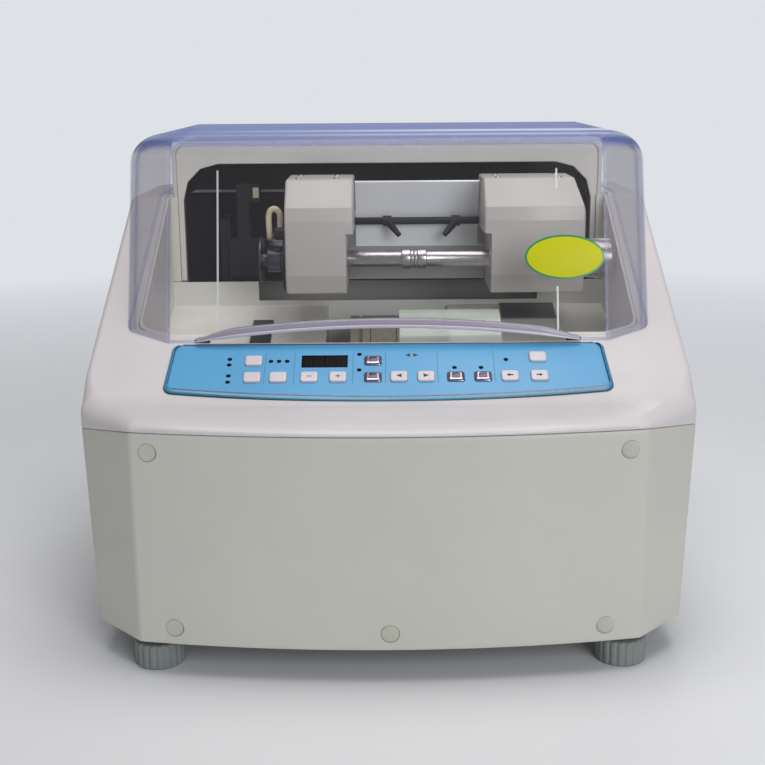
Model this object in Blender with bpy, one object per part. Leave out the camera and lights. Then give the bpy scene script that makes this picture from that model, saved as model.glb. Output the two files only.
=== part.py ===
"""Automatic lens edger: a bench machine that grinds spectacle lenses under a clear hood.

Lengths are in metres. X runs to the right as one faces the control panel and Z is up.
Inside the functions Y is measured backwards from the middle of the front face, and the
empty called edger carries everything half the depth forward, so the part's origin is
at the middle of its footprint on the floor. A pair such as (y, z) is a point of a side
view and (x, z) one of a front view.
"""

import math

import bmesh
import bpy
from mathutils import Matrix, Vector

# General
clearance = 0.0003
overrun = 0.02
sides = 18
small_sides = 10
lamp_sides = 6

# Housing plan
width = 0.488
base_draft = 0.0055
depth = 0.462
front_half = 0.1975
front_bow = 0.019
facet_back = 0.063
facet_round = 0.006
back_round = 0.015
bow_steps = 10
round_steps = 3

# Housing heights and walls
base_height = 0.028
seam_height = 0.1995
seam_side_drop = 0.0085
base_width = width - 2 * base_draft
wall = 0.004
flange_reach = 0.016
flange_thickness = 0.003
plate_thickness = 0.003
cap_pocket_radius = 0.0075
cap_pocket_depth = 0.0012
cap_inset = 0.016
cap_high_drop = 0.015
cap_low_rise = 0.014
cap_side_share = 0.93
cap_low_side_share = 0.854

# Rear window and its panel
window_half = 0.176
window_low = 0.056
window_high = 0.186
panel_lap = 0.008
rear_panel_thickness = 0.002
vent_length = 0.050
vent_height = 0.004
vent_pitch = 0.009
vent_rows = 7
vent_centre_x = 0.060
vent_low = 0.110

# Control slope, nose and deck
slope_y = 0.064
slope_z = 0.217
slope_angle = math.radians(28.8)
nose_height = 0.2055
nose_angle = math.radians(7.5)
deck_height = 0.352
crease_half = 0.206
cheek_drop = 0.004
cover_edge_round = 0.005
cover_skin = 0.0078
cover_round_steps = 2
cover_round_share = 0.5

# Tower at the back of the cover
tower_half = 0.205
tower_front = 0.313
tower_back = 0.432
tower_top = 0.402
tower_round = 0.012
tower_wall = 0.004

# Grinding chamber
chamber_ledge = 0.009
tub_wall = 0.0025
tub_back = 0.3095
tub_floor_front = 0.190
tub_floor_back = 0.246
tub_sill = 0.2685
notch_left = 0.125
notch_right = 0.145
notch_height = 0.250
well_half = 0.060
well_front = 0.192
well_floor = 0.138
drain_x = 0.020
drain_hole = 0.0085
shroud_thickness = 0.003
shroud_half = 0.195
shroud_opening_top = 0.381
shroud_corner = 0.034

# Control panel, measured up the slope from the slope point
panel_half_low = 0.178
panel_half_high = 0.1755
panel_low = 0.0095
panel_high = 0.0590
panel_bow = 0.0173
panel_round = 0.007
panel_steps = 8
recess_depth = 0.0035
ledge_thickness = 0.0033
ledge_width = 0.0075
bezel_width = 0.0035
bezel_rise = 0.0012
overlay_drop = 0.0010
board_margin = 0.005
board_thickness = 0.0016
display_share = -0.290
display_row_share = 0.681
display_width = 0.0376
display_height = 0.0150
display_rise = 0.0004
lamp_radius = 0.0015
lamp_slack = 0.0003

# Keys
key_width = 0.0138
key_length = 0.0116
key_round = 0.0022
key_rise = 0.0016
key_crown = 0.0007
key_flange = 0.0008
key_flange_thickness = 0.0010
key_stem = 0.0036
key_travel = 0.0010
switch_size = 0.0060
key_lower_share = 0.346
key_upper_share = 0.686
key_places = {
    "key_program": (-0.614, key_upper_share),
    "key_mode": (-0.614, key_lower_share),
    "key_material": (-0.497, key_lower_share),
    "key_minus": (-0.357, key_lower_share),
    "key_plus": (-0.227, key_lower_share),
    "key_set": (-0.070, key_upper_share),
    "key_memory": (-0.070, key_lower_share),
    "key_bevel_left": (0.048, key_lower_share),
    "key_bevel_right": (0.170, key_lower_share),
    "key_start": (0.3045, key_lower_share),
    "key_stop": (0.4264, key_lower_share),
    "key_feed_left": (0.5478, key_lower_share),
    "key_feed_right": (0.681, key_lower_share),
    "key_clamp": (0.684, 0.735),
}
chrome_keys = ("key_set", "key_memory", "key_start", "key_stop")
lamp_shares = (
    (-0.725, 0.737),
    (-0.725, 0.620),
    (-0.722, 0.397),
    (-0.722, 0.270),
    (-0.536, 0.688),
    (-0.499, 0.688),
    (-0.462, 0.688),
    (-0.132, 0.822),
    (-0.132, 0.500),
    (0.3005, 0.536),
    (0.4208, 0.533),
    (0.538, 0.695),
)

# Hood
hood_wall = 0.003
hood_front = 0.118
hood_front_lean = 0.040
hood_front_half = 0.182
hood_front_taper = 0.001
hood_half = 0.219
hood_taper = 0.0025
hood_facet_depth = 0.0125
hood_base = 0.246
hood_top = 0.4145
hood_edge_round = 0.025
hood_corner_round = 0.010
hood_round_steps = 4
hood_gap = 0.0008
hinge_y = 0.420
hinge_z = 0.388
hinge_ear = 0.029
hinge_rod_radius = 0.004
ear_front = 0.395
ear_steps = 8
arch_half = 0.158
arch_foot = 0.2485
arch_rise = 0.0215
arch_steps = 10
handle_height = 0.0070
handle_depth = 0.0060

# Mechanism frame
frame_inner = 0.155
frame_thickness = 0.010
frame_front = 0.205
frame_back = 0.412
frame_column_front = 0.345
frame_top = 0.325
frame_under_tray = 0.002
cross_thickness = 0.010
cross_low = 0.150
cross_high = 0.290

# Carriage and head pivot
pivot_y = 0.372
pivot_z = 0.299
pivot_radius = 0.010
pivot_half = 0.165
carriage_left = 0.0497
carriage_right = 0.1097
carriage_radius = 0.017
fork_left = 0.015
fork_right = 0.045
fork_thickness = 0.0035
fork_rise = 0.012
fork_reach = 0.018

# Head casting
lens_y = 0.245
lens_z = 0.299
arm_back_radius = 0.020
arm_front_radius = 0.017
left_arm = (-0.072, -0.050)
right_arm = (0.110, 0.135)
arm_steps = 7
bridge_front = 0.300
bridge_back = 0.330
bridge_low = 0.300
bridge_high = 0.335
apron_front = 0.286
apron_thickness = 0.005
apron_low = 0.274

# Head covers
cover_wall = 0.003
head_front = 0.208
head_back = 0.292
head_low = 0.272
head_high = 0.372
head_chin_height = 0.017
head_chin_depth = 0.006
head_brow_low = 0.337
head_brow_high = 0.349
head_brow_depth = 0.002
head_crown_depth = 0.024
head_step_height = 0.326
head_step_width = 0.0065
left_head = (-0.0907, -0.0303)
right_head = (0.0857, 0.1747)
right_chamfer_width = 0.008
right_chamfer_height = 0.027
rib_front = 0.264
rib_back = 0.288
rib_half_height = 0.009
shaft_hole = 0.0085

# Lens shafts, chucks and clamp
shaft_radius = 0.0075
shaft_bush = 0.0078
chuck_radius = 0.0095
pad_radius = 0.0090
lens_x = 0.0240
chuck_length = 0.0080
pad_length = 0.0030
left_shaft_end = -0.1055
quill_radius = 0.012
quill_left = 0.0995
quill_right = 0.1460
quill_bore = 0.0078
collar_radius = 0.0105
collar_thickness = 0.0030
tail_collar_thickness = 0.0017
clamp_radius = 0.0178
clamp_length = 0.0312
clamp_shaft_radius = 0.0040
clamp_shaft_reach = 0.0045
pattern_disc_radius = 0.0205
pattern_disc_left = -0.1160
pattern_disc_thickness = 0.0020
pattern_neck_radius = 0.0060
pattern_hub_radius = 0.0115
pattern_hub_left = -0.1090
pattern_hub_right = -0.0970
side_plate_radius = 0.0250
side_plate_thickness = 0.0035
side_plate_drop = 0.0050

# Splash shield, nozzles and water pipe
shield_thickness = 0.002
shield_margin = 0.0008
shield_top = 0.368
shield_top_lean = 0.022
shield_steps = 8
nozzle_left_x = 0.0000
nozzle_right_x = 0.0640
nozzle_z = 0.330
nozzle_radius = 0.0050
nozzle_tip_radius = 0.0024
nozzle_base_length = 0.0080
nozzle_reach = 0.0110
nozzle_drop = 0.0120
manifold_radius = 0.0035
pipe_radius = 0.0027
pipe_y = 0.236
pipe_top = 0.3460
pipe_leg = 0.0048
pipe_fitting_radius = 0.0060
pipe_fitting_z = 0.324
pipe_fitting_length = 0.0115
pipe_ferrule_radius = 0.0040
pipe_ferrule_length = 0.0060
pipe_sides = 8
pipe_steps = 3

# Sizing column behind the head
column_left = -0.146
column_right = -0.134
column_front = 0.328
column_back = 0.350
column_top = 0.361
column_foot_low = 0.270
column_foot_high = 0.308
column_foot_right = -0.121
column_foot_back = 0.356
sensor_height = 0.018
sensor_width = 0.011
sensor_depth = 0.012

# Grinding spindle and wheels
spindle_y = 0.248
spindle_z = 0.195
spindle_radius = 0.009
spindle_left = -0.1900
spindle_right = 0.0470
seat_collar = 0.0130
seat_collar_left = -0.0400
seat_collar_thickness = 0.0055
wheel_radius = 0.050
wheel_rim = 0.008
wheel_dish = 0.002
bevel_wheel_width = 0.018
finish_wheel_width = 0.0234
rough_wheel_width = 0.024
groove_depth = 0.002
groove_width = 0.004
nut_radius = 0.0125
nut_thickness = 0.009
spindle_housing_radius = 0.018
spindle_housing_left = -0.172
spindle_flange_radius = 0.024
spindle_flange_thickness = 0.006
spindle_nose_radius = 0.012
spindle_nose_reach = 0.010

# Motor and belt
motor_y = 0.248
motor_z = 0.088
motor_radius = 0.040
motor_length = 0.125
motor_end_radius = 0.036
motor_end_length = 0.014
motor_flange_radius = 0.038
motor_flange_thickness = 0.006
motor_shaft_radius = 0.007
motor_shaft_reach = 0.030
motor_hole = 0.012
pulley_centre = -0.180
belt_width = 0.012
belt_thickness = 0.004
belt_steps = 14
pulley_lip = 0.0015
pulley_lip_height = 0.0035
spindle_pulley_radius = 0.020
motor_pulley_radius = 0.028

# Splash guard in front of the wheels
guard_left = 0.010
guard_right = 0.098
guard_thickness = 0.0015
guard_top_y = 0.199
guard_top_z = 0.260
guard_foot_y = 0.152
guard_steps = 8
guard_foot_length = 0.012

# Drain pipe
drain_radius = 0.011
drain_level = 0.105
drain_bend = 0.020
drain_steps = 5
drain_end_inset = 0.0005

# Mains inlet with its switch
inlet_x = -0.130
inlet_z = 0.082
inlet_width = 0.062
inlet_height = 0.030
inlet_flange = 0.002
inlet_lip = 0.003
inlet_body_depth = 0.020
socket_offset = -0.0120
socket_width = 0.0245
socket_height = 0.0165
socket_depth = 0.0150
socket_pin_width = 0.0020
socket_pin_height = 0.0045
socket_pin_length = 0.0110
socket_pin_pitch = 0.0070
rocker_offset = 0.0175
rocker_width = 0.0130
rocker_height = 0.0190
rocker_depth = 0.0060
rocker_pocket = 0.0085
rocker_slack = 0.0006
rocker_tilt = math.radians(6)

# Levelling feet
foot_side_inset = 0.0515
foot_end_inset = 0.045
foot_x = base_width / 2 - foot_side_inset
foot_front = foot_end_inset
foot_back = depth - foot_end_inset
foot_radius = 0.0204
foot_height = 0.021
flute_sides = 20
flute_steps = 2
flute_depth = 0.0013
foot_edge = 0.0025
foot_neck_radius = 0.012
stud_radius = 0.005
stud_top = 0.050
boss_radius = 0.009
boss_height = 0.014

# Finishes: colour, roughness, metallic and alpha
finishes = {
    "cover_white": ((0.84, 0.82, 0.83), 0.35, 0.0, 1.0),
    "housing_grey": ((0.70, 0.70, 0.66), 0.45, 0.0, 1.0),
    "tub_grey": ((0.74, 0.74, 0.72), 0.40, 0.0, 1.0),
    "clear_hood": ((0.72, 0.70, 0.80), 0.12, 0.0, 0.35),
    "clear_sheet": ((0.75, 0.84, 0.88), 0.15, 0.0, 0.35),
    "panel_blue": ((0.25, 0.62, 0.82), 0.40, 0.0, 1.0),
    "trim_dark": ((0.22, 0.22, 0.26), 0.25, 0.9, 1.0),
    "key_pale": ((0.84, 0.82, 0.86), 0.40, 0.0, 1.0),
    "key_chrome": ((0.60, 0.60, 0.64), 0.15, 1.0, 1.0),
    "display_black": ((0.01, 0.01, 0.012), 0.10, 0.0, 1.0),
    "board_green": ((0.05, 0.22, 0.10), 0.50, 0.0, 1.0),
    "steel": ((0.65, 0.65, 0.66), 0.25, 1.0, 1.0),
    "zinc_plate": ((0.58, 0.59, 0.60), 0.40, 0.9, 1.0),
    "cast_alloy": ((0.55, 0.56, 0.56), 0.50, 0.9, 1.0),
    "black_part": ((0.03, 0.03, 0.035), 0.45, 0.0, 1.0),
    "rubber": ((0.03, 0.03, 0.03), 0.80, 0.0, 1.0),
    "pipe_beige": ((0.80, 0.74, 0.58), 0.50, 0.0, 1.0),
    "wheel_grit": ((0.42, 0.38, 0.30), 0.85, 0.2, 1.0),
    "foot_grey": ((0.45, 0.49, 0.47), 0.60, 0.0, 1.0),
}


# Outlines

def inset(points, distance):
    """Moves each edge of an anticlockwise outline inwards by the distance."""
    moved = []
    count = len(points)
    for index in range(count):
        here = Vector(points[index])
        before = (here - Vector(points[index - 1])).normalized()
        after = (Vector(points[(index + 1) % count]) - here).normalized()
        first = Vector((-before.y, before.x))
        second = Vector((-after.y, after.x))
        moved.append(tuple(here + (first + second) * distance / (1 + first.dot(second))))
    return moved


def rounded(points, radii, steps=round_steps):
    """Rounds the corners of an outline: one radius for each corner, zero for a sharp one."""
    outline = []
    count = len(points)
    for index in range(count):
        here = Vector(points[index])
        radius = radii[index]
        if radius == 0:
            outline.append(tuple(here))
            continue
        back = (Vector(points[index - 1]) - here).normalized()
        ahead = (Vector(points[(index + 1) % count]) - here).normalized()
        half_angle = back.angle(ahead) / 2
        centre = here + (back + ahead).normalized() * radius / math.sin(half_angle)
        start = here + back * radius / math.tan(half_angle) - centre
        end = here + ahead * radius / math.tan(half_angle) - centre
        turn = start.angle_signed(end)
        for step in range(steps + 1):
            angle = -turn * step / steps
            spoke = Matrix.Rotation(angle, 2) @ start
            outline.append(tuple(centre + spoke))
    return outline


def arc(centre, radius, start, end, steps):
    """Points on an arc from one angle to another, both ends included."""
    angles = [start + (end - start) * step / steps for step in range(steps + 1)]
    return [(centre[0] + radius * math.cos(a), centre[1] + radius * math.sin(a)) for a in angles]


def bowed(half, level, bow, steps):
    """Points from left to right on the shallow arc whose middle stands out by the bow."""
    radius = (half * half + bow * bow) / (2 * bow)
    points = []
    for step in range(steps + 1):
        x = half * (2 * step / steps - 1)
        points.append((x, level + radius - bow - math.sqrt(radius * radius - x * x)))
    return points


def box_outline(left, right, low, high):
    return [(left, low), (right, low), (right, high), (left, high)]


def plan_outline(distance=0, rounding=True, across=width):
    """The housing seen from above: bowed front, two facets, straight sides and back."""
    front = bowed(front_half, front_bow, front_bow, bow_steps)
    corners = front + [
        (across / 2, facet_back),
        (across / 2, depth),
        (-across / 2, depth),
        (-across / 2, facet_back),
    ]
    corners = inset(corners, distance)
    if not rounding:
        return corners
    plain = len(front) - 2
    radii = [facet_round] + [0] * plain + [facet_round] * 2 + [back_round] * 2 + [facet_round]
    return rounded(corners, radii)


def width_at(z):
    """The housing narrows evenly from the seam down to its foot."""
    return base_width + (width - base_width) * (z - base_height) / (seam_height - base_height)


def front_face(x):
    """Distance of the bowed front behind the middle of the front face."""
    radius = (front_half * front_half + front_bow * front_bow) / (2 * front_bow)
    return radius - math.sqrt(radius * radius - x * x)


def link_outline(start, start_radius, end, end_radius):
    """A bar that wraps two circles of a side view, the first one behind the second."""
    gap = start[0] - end[0]
    tilt = math.asin((start_radius - end_radius) / gap)
    rear = arc(start, start_radius, -math.pi / 2 - tilt, math.pi / 2 + tilt, arm_steps)
    nose = arc(end, end_radius, math.pi / 2 + tilt, 3 * math.pi / 2 - tilt, arm_steps)
    return rear + nose


# Heights

def slope_height(y):
    return slope_z + (y - slope_y) * math.tan(slope_angle)


def slope_back(z):
    return slope_y + (z - slope_z) / math.tan(slope_angle)


def nose_level(y):
    return nose_height + y * math.tan(nose_angle)


def tub_floor(y):
    chamber_front = hood_front + chamber_ledge
    share = (y - chamber_front) / (tub_back - chamber_front)
    return tub_floor_front + (tub_floor_back - tub_floor_front) * share


# Solids

def new_piece(name, bm):
    bmesh.ops.recalc_face_normals(bm, faces=bm.faces)
    mesh = bpy.data.meshes.new(name)
    bm.to_mesh(mesh)
    bm.free()
    piece = bpy.data.objects.new(name, mesh)
    bpy.context.collection.objects.link(piece)
    return piece


def place(along, a, b, t):
    """A point of an outline (a, b) carried a distance t along an axis."""
    return {"X": (t, a, b), "Y": (a, t, b), "Z": (a, b, t)}[along]


def loft(name, rings, loop=False):
    """Joins rings of equal counts; a ring of one point is a pole, a loop has no ends."""
    bm = bmesh.new()
    rows = [[bm.verts.new(point) for point in ring] for ring in rings]
    pairs = list(zip(rows, rows[1:] + rows[:1])) if loop else list(zip(rows, rows[1:]))
    for low, high in pairs:
        count = max(len(low), len(high))
        for index in range(count):
            ahead = (index + 1) % count
            if len(low) == 1:
                bm.faces.new((low[0], high[ahead], high[index]))
            elif len(high) == 1:
                bm.faces.new((low[index], low[ahead], high[0]))
            else:
                bm.faces.new((low[index], low[ahead], high[ahead], high[index]))
    if not loop:
        for ring in (rows[0], rows[-1]):
            if len(ring) > 1:
                bm.faces.new(ring)
    return new_piece(name, bm)


def extruded(name, outline, along, low, high):
    return loft(name, [[place(along, a, b, t) for a, b in outline] for t in (low, high)])


def box(name, x, y, z):
    return extruded(name, box_outline(x[0], x[1], y[0], y[1]), "Z", z[0], z[1])


def turned(name, profile, along, centre, count=sides, loop=False):
    """Turns a profile of (station, radius) pairs about an axis through the centre."""
    rings = []
    for station, radius in profile:
        if radius == 0:
            rings.append([place(along, centre[0], centre[1], station)])
            continue
        ring = []
        for index in range(count):
            angle = 2 * math.pi * index / count
            a = centre[0] + radius * math.cos(angle)
            b = centre[1] + radius * math.sin(angle)
            ring.append(place(along, a, b, station))
        rings.append(ring)
    return loft(name, rings, loop)


def rod(name, radius, along, centre, low, high, count=sides):
    return turned(name, [(low, radius), (high, radius)], along, centre, count)


def sleeve(name, profile, bore, along, centre, count=sides):
    """A turned piece with a plain bore right through it."""
    ends = [(profile[-1][0], bore), (profile[0][0], bore)]
    return turned(name, profile + ends, along, centre, count, loop=True)


def swept(name, points, radius, count=small_sides):
    """A round bar along a path of points."""
    points = [Vector(point) for point in points]
    rings = []
    across = Vector((1, 0, 0))
    for index, point in enumerate(points):
        before = points[max(index - 1, 0)]
        after = points[min(index + 1, len(points) - 1)]
        ahead = (after - before).normalized()
        across = across - ahead * across.dot(ahead)
        if across.length < clearance:
            across = ahead.orthogonal()
        across.normalize()
        upward = ahead.cross(across)
        ring = []
        for step in range(count):
            angle = 2 * math.pi * step / count
            ring.append(point + (across * math.cos(angle) + upward * math.sin(angle)) * radius)
        rings.append(ring)
    return loft(name, rings)


def tapered(name, start, end, start_radius, end_radius, count=small_sides):
    """A round bar between two points whose ends differ in size."""
    start = Vector(start)
    end = Vector(end)
    across = (end - start).orthogonal().normalized()
    upward = (end - start).normalized().cross(across)
    rings = []
    for point, radius in ((start, start_radius), (end, end_radius)):
        angles = [2 * math.pi * step / count for step in range(count)]
        rings.append([point + (across * math.cos(a) + upward * math.sin(a)) * radius for a in angles])
    return loft(name, rings)


def strip_outline(points, thickness):
    """The edge view of a bent sheet: a line of points and the same line one thickness over."""
    other = []
    for index, point in enumerate(points):
        before = Vector(points[max(index - 1, 0)])
        after = Vector(points[min(index + 1, len(points) - 1)])
        ahead = (after - before).normalized()
        other.append((point[0] - ahead.y * thickness, point[1] + ahead.x * thickness))
    return list(points) + other[::-1]


def smooth_path(points, steps):
    """Points on a smooth curve through the route's own points."""
    points = [Vector(point) for point in points]
    route = [points[0] * 2 - points[1]] + points + [points[-1] * 2 - points[-2]]
    path = []
    for index in range(1, len(route) - 2):
        p0, p1, p2, p3 = route[index - 1:index + 3]
        for step in range(steps):
            t = step / steps
            bend = 2 * p1 + (p2 - p0) * t
            bend += (2 * p0 - 5 * p1 + 4 * p2 - p3) * t * t
            bend += (3 * p1 - p0 - 3 * p2 + p3) * t * t * t
            path.append(bend / 2)
    path.append(points[-1])
    return path


# Joining and cutting

def settle(piece):
    """Turns a piece's modifiers into its mesh."""
    graph = bpy.context.evaluated_depsgraph_get()
    shape = bpy.data.meshes.new_from_object(piece.evaluated_get(graph))
    piece.modifiers.clear()
    piece.data = shape


def combine(piece, tools, operation):
    for tool in tools:
        step = piece.modifiers.new(operation.lower(), "BOOLEAN")
        step.operation = operation
        step.solver = "EXACT"
        step.object = tool
        settle(piece)
        bpy.data.objects.remove(tool)
    return piece


def cut(piece, *tools):
    return combine(piece, tools, "DIFFERENCE")


def join(piece, *tools):
    return combine(piece, tools, "UNION")


def common(piece, *tools):
    return combine(piece, tools, "INTERSECT")


def gather(name, pieces):
    """One cutter made of several that don't meet."""
    bm = bmesh.new()
    for piece in pieces:
        bm.from_mesh(piece.data)
        bpy.data.objects.remove(piece)
    return new_piece(name, bm)


def finish(piece, look, parent, origin=(0, 0, 0), smooth_angle=math.radians(35)):
    """Gives a piece its material, its parent and an origin on its joint's axis."""
    colour, roughness, metallic, alpha = finishes[look]
    material = bpy.data.materials.new(piece.name + "_" + look)
    material.use_nodes = True
    shader = material.node_tree.nodes["Principled BSDF"]
    shader.inputs["Base Color"].default_value = (*colour, 1.0)
    shader.inputs["Roughness"].default_value = roughness
    shader.inputs["Metallic"].default_value = metallic
    shader.inputs["Alpha"].default_value = alpha
    piece.data.materials.clear()
    piece.data.materials.append(material)
    piece.data.name = piece.name
    piece.data.transform(Matrix.Translation(-Vector(origin)))
    piece.location = origin
    piece.parent = parent
    piece.data.shade_smooth()
    piece.data.set_sharp_from_angle(angle=smooth_angle)
    return piece


# Housing

def make_base_plate(edger):
    plate = extruded("base_plate", plan_outline(wall + clearance, across=base_width), "Z",
                     base_height, base_height + plate_thickness)
    top = base_height + plate_thickness
    for centre in foot_centres():
        join(plate, rod("boss", boss_radius, "Z", centre, base_height, top + boss_height,
                        small_sides))
    for centre in foot_centres():
        cut(plate, rod("bore", stud_radius + clearance, "Z", centre, base_height - overrun,
                       top + boss_height + overrun, small_sides))
    finish(plate, "zinc_plate", edger)


def make_lower_housing(edger):
    housing = drafted("lower_housing", 0, base_height, seam_height)
    common(housing, seam_block(0))
    ledge = base_height + plate_thickness + clearance
    below = drafted("below", wall, base_height - overrun, ledge)
    above = drafted("above", wall, ledge + flange_thickness, seam_height + overrun)
    middle = drafted("middle", flange_reach, base_height, seam_height, rounding=False)
    window = box("window", (-window_half, window_half), (depth - wall - overrun, depth + overrun),
                 (window_low, window_high))
    cut(housing, below, above, middle, window)
    for x, z in cap_centres():
        bottom = front_face(x) + cap_pocket_depth
        cut(housing, rod("pocket", cap_pocket_radius, "Y", (x, z), -overrun, bottom, small_sides))
    finish(housing, "housing_grey", edger)


def drafted(name, distance, low, high, rounding=True):
    """A block with the housing's outline, drawn in by a distance, between two levels."""
    rings = []
    for z in (low, high):
        outline = plan_outline(distance, rounding, width_at(z))
        rings.append([(x, y, z) for x, y in outline])
    return loft(name, rings)


def seam_block(gap):
    """All that lies below the seam, which falls outwards from the front's corners."""
    fall = seam_side_drop / (width / 2 - front_half)
    side_height = seam_height + gap - (width - front_half) * fall
    front_height = seam_height + gap
    profile = [
        (-width, -overrun),
        (width, -overrun),
        (width, side_height),
        (front_half, front_height),
        (-front_half, front_height),
        (-width, side_height),
    ]
    return extruded("seam_block", profile, "Y", -overrun, depth + overrun)


def cap_centres():
    high = seam_height - cap_high_drop
    low = base_height + cap_low_rise
    upper = front_half * cap_side_share
    lower = front_half * cap_low_side_share
    return [(-upper, high), (upper, high), (-lower, low), (lower, low), (0, low)]


def make_rear_panel(edger):
    outer = depth - wall - clearance
    inner = outer - rear_panel_thickness
    half = window_half + panel_lap
    panel = box("rear_panel", (-half, half), (inner, outer),
                (window_low - panel_lap, window_high + panel_lap))
    vents = []
    for side in (-1, 1):
        for row in range(vent_rows):
            x = side * vent_centre_x
            z = vent_low + row * vent_pitch
            vents.append(box("vent", (x - vent_length / 2, x + vent_length / 2),
                             (inner - overrun, outer + overrun), (z, z + vent_height)))
    socket = box("socket_hole", inlet_span(clearance), (inner - overrun, outer + overrun),
                 inlet_rise(clearance))
    pipe = rod("pipe_hole", drain_radius + clearance, "Y", (drain_x, drain_level),
               inner - overrun, outer + overrun)
    cut(panel, gather("openings", vents + [socket, pipe]))
    finish(panel, "zinc_plate", edger)


def inlet_span(slack=0):
    half = inlet_width / 2 - inlet_lip
    return (inlet_x - half - slack, inlet_x + half + slack)


def inlet_rise(slack=0):
    half = inlet_height / 2 - inlet_lip
    return (inlet_z - half - slack, inlet_z + half + slack)


def make_top_cover(edger, slope):
    seam = seam_height + clearance
    fold = (slope_z - nose_height - slope_y * math.tan(slope_angle)) / (
        math.tan(nose_angle) - math.tan(slope_angle))
    deck_start = slope_back(deck_height)
    roof = [
        (-overrun, nose_level(-overrun)),
        (fold, nose_level(fold)),
        (deck_start, deck_height),
        (depth + overrun, deck_height),
    ]
    floor = [(depth + overrun, seam - overrun), (-overrun, seam - overrun)]
    cover = extruded("top_cover", plan_outline(), "Z", seam - seam_side_drop, tower_top)
    common(cover, extruded("roof", floor + roof, "X", -width, width))
    for side in (-1, 1):
        cut(cover, cheek_cutter(side, roof))
    soften(cover, seam + cover_edge_round, cover_edge_round)
    tower = rounded(box_outline(-tower_half, tower_half, deck_height - overrun, tower_top),
                    [0, 0, tower_round, tower_round])
    join(cover, extruded("tower", tower, "Y", tower_front, tower_back))
    lowered = [(y, z - cover_skin) for y, z in roof]
    inner = extruded("inner", plan_outline(wall), "Z", seam - overrun, tower_top)
    common(inner, extruded("inner_roof", floor + lowered, "X", -width, width))
    tower_half_inner = tower_half - tower_wall
    tower_room = rounded(
        box_outline(-tower_half_inner, tower_half_inner, deck_height - overrun,
                    tower_top - tower_wall),
        [0, 0, tower_round - tower_wall, tower_round - tower_wall])
    room = extruded("room", tower_room, "Y", tower_front - overrun, tower_back - tower_wall)
    chamber = extruded("chamber", chamber_outline(0, tower_front), "Z", slope_z - overrun,
                       tower_top + overrun)
    rod_hole = rod("rod_hole", hinge_rod_radius + clearance, "X", (hinge_y, hinge_z),
                   -width, width, small_sides)
    cut(cover, seam_block(clearance), inner, room, chamber, rod_hole)
    recess = extruded("recess", panel_outline(), "Z", -recess_depth, overrun)
    window = extruded("panel_window", panel_outline(ledge_width), "Z", -overrun, overrun)
    for tool in (recess, window):
        tool.data.transform(slope.matrix_local)
        cut(cover, tool)
    finish(cover, "cover_white", edger)


def cheek_cutter(side, roof):
    """The wedge above a cheek, which falls outwards from its crease along the roof."""
    reach = width
    fall = cheek_drop / (width / 2 - crease_half)
    points = [(crease_half, 0), (reach, -(reach - crease_half) * fall), (reach, reach),
              (crease_half, reach)]
    rings = [[(side * x, y, z + rise) for x, rise in points] for y, z in roof]
    return loft("cheek", rings)


def soften(piece, above, size):
    """Rounds the outer edges of a casing that lie above a height."""
    bm = bmesh.new()
    bm.from_mesh(piece.data)
    bmesh.ops.dissolve_limit(bm, angle_limit=math.radians(1), verts=bm.verts, edges=bm.edges)
    edges = []
    for edge in bm.edges:
        if min(vert.co.z for vert in edge.verts) < above - size - clearance:
            continue
        if edge.is_manifold and edge.calc_face_angle() > math.radians(40):
            edges.append(edge)
    rims = [edge for edge in edges if max(vert.co.z for vert in edge.verts) > above - size + clearance]
    bmesh.ops.bevel(bm, geom=rims, offset=size, segments=cover_round_steps, profile=cover_round_share,
                    affect="EDGES", clamp_overlap=True)
    bm.to_mesh(piece.data)
    bm.free()


# Control panel, in the slope's own frame: x across, y up the slope, z out of it

def panel_outline(distance=0):
    front = bowed(panel_half_low, panel_low, panel_bow, panel_steps)
    corners = front + [(panel_half_high, panel_high), (-panel_half_high, panel_high)]
    corners = inset(corners, distance)
    plain = len(front) - 2
    radii = [panel_round] + [0] * plain + [panel_round] * 3
    return rounded(corners, radii)


def panel_place(share, row_share):
    return (share * panel_half_low, row_share * panel_high)


def around(centre, across, along, rounding=0):
    outline = box_outline(centre[0] - across / 2, centre[0] + across / 2,
                          centre[1] - along / 2, centre[1] + along / 2)
    return rounded(outline, [rounding] * 4, 1) if rounding else outline


def make_panel(slope):
    seat = -recess_depth + clearance
    bezel = extruded("panel_bezel", panel_outline(clearance), "Z", seat, bezel_rise)
    cut(bezel, extruded("inside", panel_outline(bezel_width), "Z", -overrun, overrun))
    finish(bezel, "trim_dark", slope)

    overlay = extruded("panel_overlay", panel_outline(bezel_width + clearance), "Z", seat,
                       -overlay_drop)
    holes = []
    for share, row_share in key_places.values():
        holes.append(extruded("hole", around(panel_place(share, row_share),
                                             key_width + 2 * clearance,
                                             key_length + 2 * clearance, key_round),
                              "Z", -overrun, overrun))
    for share, row_share in lamp_shares:
        holes.append(rod("lamp_hole", lamp_radius + lamp_slack, "Z",
                         panel_place(share, row_share), -overrun, overrun, lamp_sides))
    display = panel_place(display_share, display_row_share)
    holes.append(extruded("display_hole", around(display, display_width, display_height),
                          "Z", -overrun, overrun))
    cut(overlay, gather("panel_holes", holes))
    finish(overlay, "panel_blue", slope)

    glass = extruded("display_window", around(display, display_width - 2 * clearance,
                                              display_height - 2 * clearance),
                     "Z", seat, display_rise - overlay_drop)
    finish(glass, "display_black", slope)


def board_top():
    return -recess_depth - ledge_thickness - clearance


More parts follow.
